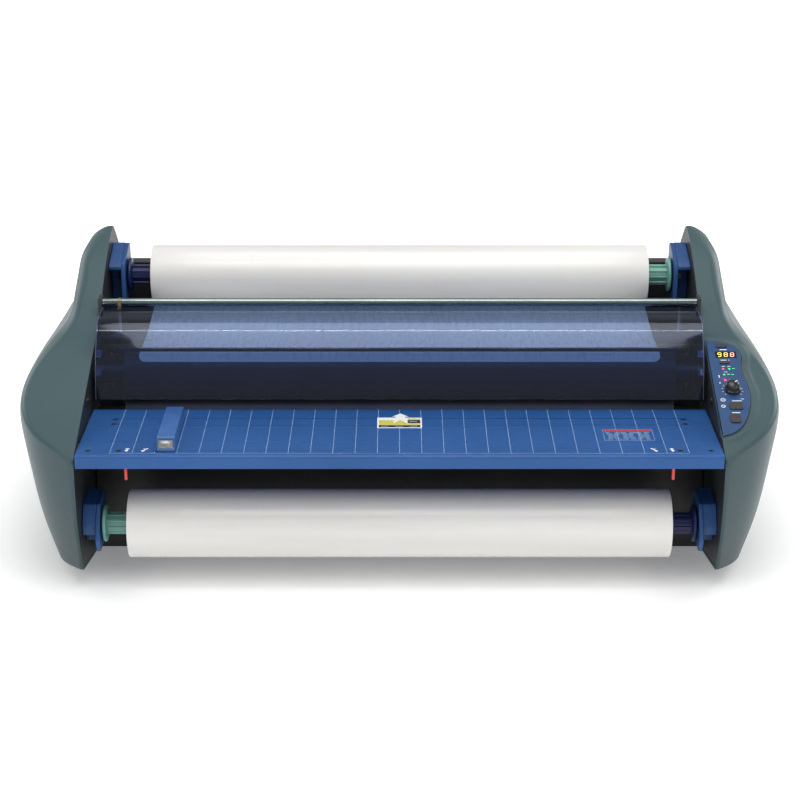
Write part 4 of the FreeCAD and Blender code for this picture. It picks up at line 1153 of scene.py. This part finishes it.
def side_label():
    """A thin outlined label with a red header and rows of neutral dashes."""
    x0, y0, x1, y1 = 237.5, 48.5, 296.0, 85.5
    line = 0.5
    outline = [tray_bar(x0, y0, x1, y0 + line), tray_bar(x0, y1 - line, x1, y1),
               tray_bar(x0, y0, x0 + line, y1), tray_bar(x1 - line, y0, x1, y1)]
    piece("side_label_outline", "feed_tray", together(*outline), PALE_INK)
    piece("side_label_header", "feed_tray",
          tray_bar(x0 + 2, y1 - 7.5, x1 - 2, y1 - 2.2), RED_INK)
    rows = []
    for row in range(7):
        y = y0 + 4 + row * 3.6
        for column in range(6):
            start = x0 + 4 + column * 8.8 + 1.3 * math.sin(7 * row + 3 * column)
            rows.append(tray_bar(start, y, start + 6.2 + math.sin(5 * row + column), y + 1.1))
    piece("side_label_rows", "feed_tray", together(*rows), PALE_INK)


def width_marks():
    """Small arrows at the film's two widths, at both ends of the tray."""
    width = 0.9
    for side_name, side in SIDES:
        marks = []
        for x, lean in ((290.5, 2.6), (311.5, 0.4)):
            tip, tail = (side * (x + lean), 13.0), (side * (x - lean), 24.0)
            marks.append(flat_shape([(tip[0] - width, tip[1] + 3), (tip[0] + width, tip[1] + 3),
                                     (tail[0] + width, tail[1]), (tail[0] - width, tail[1])],
                                    TRAY_TOP + 0.01, TRAY_TOP + 0.05))
            marks.append(flat_shape([(tip[0], tip[1]), (tip[0] + 2.6, tip[1] + 4),
                                     (tip[0] - 2.6, tip[1] + 4)], TRAY_TOP + 0.01,
                                    TRAY_TOP + 0.06))
            marks.append(tray_bar(side * x - 2.6, 21.0, side * x + 2.6, 22.6, 1.3))
        piece("width_marks_" + side_name, "feed_tray", together(*marks), WHITE_INK)


def edge_guide_bar(low, high):
    """The guide's long rounded bar."""
    y0, y1, base, top = low.y, high.y, low.z, high.z
    outline = [(y0, base), (y0, base + 3.2), (y0 + 1.2, base + 4.2), (y0 + 2.6, base + 5.4),
               (y0 + 3.6, base + 9.5), (y0 + 5.5, top - 2.6), (y0 + 5.2, top - 1.4),
               (y0 + 7, top - 0.3), (y0 + 9, top), (y1 - 7, top), (y1 - 4, top - 0.8),
               (y1 - 1.8, top - 2.6), (y1 - 0.4, top - 5.4), (y1, top - 8.5), (y1, base)]
    bar = piece("edge_guide_bar", "edge_guide", prism(outline, low.x, high.x), GUIDE,
                ["edge_guide"])
    soften(bar, 1.2, 3)


def edge_guide_thumb_plate(low, high):
    """Dished spring plate set into the guide's front end."""
    inset = 2.4
    x0, x1 = low.x + inset, high.x - inset
    columns, rows = 13, 9
    points = []
    for depth in (0.0, 1.0):
        for row in range(rows):
            up = row / (rows - 1)
            z = low.z + 4.6 + up * (high.z - low.z - 8.0)
            y = low.y + 1.6 + 2.9 * up + depth
            for column in range(columns):
                across = column / (columns - 1)
                dish = 0.8 * math.sin(math.pi * across) * math.sin(math.pi * min(1.0, up + 0.1))
                points.append((x0 + (x1 - x0) * across, y + dish * (1 - depth) - 0.9, z))
    faces = []
    layer = rows * columns
    for row in range(rows - 1):
        for column in range(columns - 1):
            a = row * columns + column
            faces.append((a, a + 1, a + columns + 1, a + columns))
            faces.append((layer + a, layer + a + columns, layer + a + columns + 1,
                          layer + a + 1))
    border = (list(range(columns)) + [r * columns + columns - 1 for r in range(1, rows)]
              + [(rows - 1) * columns + c for c in range(columns - 2, -1, -1)]
              + [r * columns for r in range(rows - 2, 0, -1)])
    faces += [(here, layer + here, layer + there, there)
              for here, there in zip(border, border[1:] + border[:1])]
    piece("edge_guide_thumb_plate", "edge_guide", (points, faces), SPRING_PLATE)


def edge_guide():
    """Paper guide: a rounded bar, its thumb plate and a low rail beside it."""
    low, high = machine_box("edge_guide")
    edge_guide_bar(low, high)
    edge_guide_thumb_plate(low, high)
    rail = flat_shape([(low.x - 2.2, low.y + 1), (low.x - 0.6, low.y + 1),
                       (low.x - 0.6, low.y + 42), (low.x - 2.2, low.y + 42)], low.z, low.z + 4.5)
    soften(piece("edge_guide_side_rail", "edge_guide", rail, GUIDE), 0.4)


tray_screws()
centre_label()
side_label()
width_marks()
edge_guide()

# ================================================================ control panel
# Places on the panel are machine (x, y); heights are above the slope.
KNOB_AT = (393.4, 114.5)
DISPLAY_AT = (393.6, 175.5)
# Tops of the overlay, the display's filter and the print; PRINT is where the print starts.
OVERLAY = 1.6
DISPLAY_TOP = OVERLAY + 0.2
PRINT = OVERLAY + 0.01
PRINT_TOP = OVERLAY + 0.09
FLUTES = 14
FLUTE_DEPTH = 0.45
POINTER_TURN = math.radians(38)
SCALE_DOT = 0.825
# White bars: x, y, width and depth.
PRINTED_BARS = (
    (391.5, 184.6, 8.5, 1.6), (389.5, 166.0, 7.0, 1.1), (396.0, 166.0, 1.4, 1.1),
    (388.0, 155.2, 4.0, 0.8), (394.6, 155.2, 4.0, 0.8), (389.5, 145.3, 4.4, 0.8),
    (380.6, 137.5, 1.2, 5.0), (380.2, 126.5, 1.3, 2.6), (396.0, 96.0, 11.5, 1.3),
    (403.0, 99.2, 3.6, 0.9), (392.5, 76.4, 9.6, 1.3))
LAMP_SPOTS = (("red_top", 387.0, 150.6, RED_LAMP), ("green_top", 394.5, 150.6, GREEN_LAMP),
              ("green_mid", 387.0, 140.6, GREEN_LAMP), ("red_low", 387.0, 131.1, RED_LAMP))


def panel_overlay():
    """Printed overlay on a thin dark gasket."""
    soften(piece("panel_overlay_sheet", "chassis", slope_plate(list(panel_edge()), 0.2, OVERLAY),
                 PANEL, ["control_panel"]), 0.5)
    piece("panel_gasket", "chassis", slope_plate(list(panel_edge(1.0)), -0.6, 0.7), BLACK_RUBBER)


def seven_segments(x, y, lit):
    """One digit of the display from its lit segments, a to g."""
    width, height, bar, lean = 3.9, 7.2, 0.95, 0.10
    middle = height / 2
    places = {"a": (0, height, 0), "g": (0, middle, 0), "d": (0, 0, 0),
              "f": (-width / 2, 0.75 * height, 1), "b": (width / 2, 0.75 * height, 1),
              "e": (-width / 2, 0.25 * height, 1), "c": (width / 2, 0.25 * height, 1)}
    shapes = []
    for name in lit:
        u, v, upright = places[name]
        half_u = bar / 2 if upright else width / 2 - bar * 0.45
        half_v = middle / 2 - bar * 0.45 if upright else bar / 2
        corners = [(-half_u, -half_v), (half_u, -half_v), (half_u, half_v), (-half_u, half_v)]
        outline = [(x + u + cu + lean * (v + cv - middle),
                    y + (v + cv - middle) * math.cos(SLOPE)) for cu, cv in corners]
        shapes.append(slope_plate(outline, DISPLAY_TOP + 0.01, DISPLAY_TOP + 0.10))
    return together(*shapes)


def display():
    """Dark window in a thin bezel, with three lit digits."""
    x, y = DISPLAY_AT
    soften(piece("display_bezel", "chassis",
                 slope_plate(rounded_box(x, y, 26.4, 13.0, 1.6), 0.5, OVERLAY + 0.16),
                 BLACK_PLASTIC), 0.12)
    piece("display_filter", "chassis",
          slope_plate(rounded_box(x, y, 25.0, 11.6, 1.0), OVERLAY - 0.4, DISPLAY_TOP), DISPLAY,
          ["display_window"])
    for name, offset, lit, look in (("left", -7.6, "abcdfg", YELLOW_LAMP),
                                    ("middle", 0.0, "abcdefg", AMBER_LAMP),
                                    ("right", 7.6, "abcdefg", PINK_LAMP)):
        piece("display_digit_" + name, "chassis", seven_segments(x + offset, y, lit), look)


def slope_circle(x, y, radius, lift, count):
    """A circle of points on the slope round (x, y)."""
    return [slope_point(x + u, y, lift, v) for u, v in circle(radius, count)]


def dome(x, y, radius, base, height, rows=5, count=24):
    """A low dome on the slope."""
    points = []
    for row in range(rows):
        turn = math.pi / 2 * row / rows
        points += slope_circle(x, y, radius * math.cos(turn), base + height * math.sin(turn), count)
    points += slope_circle(x, y, radius, base - 2.0, count)
    top = len(points)
    points.append(slope_point(x, y, base + height))
    faces = []
    for row in range(rows - 1):
        faces += band(row * count, (row + 1) * count, count)
    faces += [((rows - 1) * count + i, (rows - 1) * count + (i + 1) % count, top)
              for i in range(count)]
    faces += band(0, rows * count, count)
    faces.append(tuple(range(rows * count, (rows + 1) * count)))
    return points, faces


def lamps():
    """Four lenses; the first stands for the CAD's lamps."""
    for index, (name, x, y, look) in enumerate(LAMP_SPOTS):
        stands_for, slot = ((), None) if index else (["status_lamps"], "lamp")
        piece("lamp_" + name, "chassis", dome(x, y, 1.4, OVERLAY, 0.8), look, stands_for)


def speed_knob():
    """Fluted knob with a domed top and a white pointer."""
    x, y = KNOB_AT
    low, high = machine_box("speed_knob")
    radius = (high.x - low.x) / 2
    base = OVERLAY + 0.4
    profile = [(base - 8, 2.9), (base, 3.0), (base, radius - 0.6), (base + 0.5, radius),
               (base + 2.6, radius - 0.2), (base + 3.4, radius - 1.2),
               (base + 8.6, radius - 2.0), (base + 10.0, radius - 2.9),
               (base + 10.8, radius - 4.6), (base + 11.2, 1.0)]

    def fluted(lift, away, angle):
        if not base + 3.0 < lift < base + 9.5:
            return away
        return away - FLUTE_DEPTH * max(0.0, math.cos(FLUTES * angle)) ** 2

    raw, faces = turned(profile, 0.0, 0.0, count=112, shape=fluted)
    points = [slope_point(x + u, y, lift, v) for lift, u, v in raw]
    piece("speed_knob_grip", "speed_knob", (points, faces), KNOB_PLASTIC, ["speed_knob"])
    across, along = math.cos(POINTER_TURN), math.sin(POINTER_TURN)
    half = 0.55
    corners = [(reach * across - side * half * along, reach * along + side * half * across)
               for reach, side in ((2.2, -1), (2.2, 1), (radius - 3.2, 1), (radius - 3.2, -1))]
    pointer = between(*[[slope_point(x + u, y, lift, v) for u, v in corners]
                        for lift in (base + 10.3, base + 11.35)])
    piece("speed_knob_pointer", "speed_knob", pointer, WHITE_INK)


def printed_bar(x, y, width, depth):
    """A small printed bar with rounded corners on the panel."""
    return slope_plate(rounded_box(x, y, width, depth, min(width, depth) * 0.3, 2), PRINT,
                       PRINT_TOP)


def printed_bars(name, look, places, width, depth):
    """A piece made of equal printed bars."""
    piece(name, "chassis", together(*[printed_bar(x, y, width, depth) for x, y in places]), look)


def printed_ring(x, y, outer, inner, count=28):
    """A printed circle with a small bar in it."""
    points, faces = [], []
    for lift in (PRINT, PRINT_TOP):
        for radius in (inner, outer):
            points += slope_circle(x, y, radius, lift, count)
    for low, high in ((0, 1), (1, 3), (3, 2), (2, 0)):
        faces += band(low * count, high * count, count)
    return together((points, faces), printed_bar(x, y, inner * 0.9, 0.7))


def panel_print():
    """Neutral marks where the panel is printed: bars by the keys, rings and the knob's scale; the
    green bars glow as painted light.
    """
    piece("panel_print_bars", "chassis", together(*[printed_bar(*bar) for bar in PRINTED_BARS]),
          WHITE_INK)
    piece("panel_print_rings", "chassis",
          together(printed_ring(380.0, 97.7, 3.0, 2.0), printed_ring(379.0, 87.0, 2.6, 1.7)),
          WHITE_INK)
    printed_bars("panel_print_red", RED_INK,
                 ((385.5, 134.4), (391.5, 132.6), (396.5, 129.8), (399.5, 127.4)), 4.2, 0.9)
    # The green print takes the lamp's glowing finish: painted light on print, which is no lamp.
    printed_bars("panel_print_green_glowing", GREEN_LAMP, ((392.5, 141.4), (397.0, 141.0), (399.6, 151.2)),
                 3.4, 1.0)
    x, y = KNOB_AT
    spots = []
    for index in range(11):
        angle = math.radians(-130 + 26 * index) + math.pi / 2
        spots += [(x + reach * math.cos(angle), y + reach * math.sin(angle) * math.cos(SLOPE))
                  for reach in (11.4, 12.3)]
    printed_bars("panel_print_scale", WHITE_INK, spots, SCALE_DOT, SCALE_DOT)


panel_overlay()
display()
lamps()
speed_knob()
panel_print()

# ================================================================ floor, light and camera
def floor():
    """White light table: a pale matt sheet that glows a little, and more away from the object."""
    look = Look("studio_floor")
    tone = look.ramp(look.noise(0.6, 2.0), (0.3, (0.90, 0.90, 0.90)), (0.7, (0.93, 0.93, 0.93)))
    away = look.node("ShaderNodeVectorMath", {"operation": "LENGTH"})
    look.feed(away.inputs[0], look.place)
    look.finish(Base_Color=tone, Emission_Color=tone,
                Emission_Strength=look.mapped(away.outputs["Value"], (0.5, 1.6), (0.22, 0.85)),
                Roughness=0.85, Specular_IOR_Level=0.1)
    mesh = bpy.data.meshes.new("studio_floor")
    size = 30.0
    mesh.from_pydata([(-size, -size, 0), (size, -size, 0), (size, size, 0), (-size, size, 0)],
                     [], [(0, 1, 2, 3)])
    mesh.materials.append(look.material)
    made = bpy.data.objects.new("studio_floor", mesh)
    bpy.context.scene.collection.objects.link(made)


def softbox(name, place, target, size, radiance):
    """An area light of a given brightness, whatever its size."""
    light = bpy.data.lights.new(name, "AREA")
    light.shape = "RECTANGLE"
    light.size, light.size_y = size
    light.energy = radiance * math.pi * size[0] * size[1]
    made = bpy.data.objects.new(name, light)
    made.location = place
    made.rotation_euler = (Vector(target) - Vector(place)).to_track_quat("-Z", "Y").to_euler()
    bpy.context.scene.collection.objects.link(made)


def studio():
    """Pale surroundings and six soft lights."""
    world = bpy.data.worlds.new("studio")
    bpy.context.scene.world = world
    world.use_nodes = True
    surroundings = world.node_tree.nodes["Background"].inputs
    surroundings["Color"].default_value = (1.0, 1.0, 1.0, 1.0)
    surroundings["Strength"].default_value = 0.36
    softbox("overhead", (0.03, -0.47, 2.07), (0.03, -0.47, 0.0), (1.32, 2.62), 2.75)
    softbox("overhead_strip", (0.0, -0.76, 1.95), (0.0, -0.76, 0.0), (1.6, 0.06), 14.0)
    softbox("left_back", (-1.5, 0.9, 0.9), (-0.42, 0.0, 0.25), (0.8, 0.9), 3.0)
    softbox("right_back", (1.5, 0.9, 0.9), (0.42, 0.0, 0.25), (0.8, 0.9), 5.0)
    softbox("left_front", (-2.4, -1.8, 1.4), (-0.1, 0.0, 0.2), (1.2, 1.6), 3.0)
    softbox("right_front", (2.4, -1.8, 1.4), (0.1, 0.0, 0.2), (1.2, 1.6), 3.0)
    settings = bpy.context.scene.view_settings
    settings.view_transform = "Standard"
    settings.look = "None"


# The camera, in metres, millimetres of lens and degrees below level.
CAMERA_PLACE = (0.0005, -2.3204, 1.0035)
SENSOR = 36.0
LENS = 88.4
LOOK_DOWN = 20.0


def camera():
    """A long lens in front of the machine, looking down at it."""
    data = bpy.data.cameras.new("camera")
    data.sensor_width = SENSOR
    data.lens = LENS
    made = bpy.data.objects.new("camera", data)
    made.location = CAMERA_PLACE
    made.rotation_euler = (math.radians(90.0 - LOOK_DOWN), 0.0, 0.0)
    bpy.context.scene.collection.objects.link(made)
    bpy.context.scene.camera = made


floor()
studio()
camera()
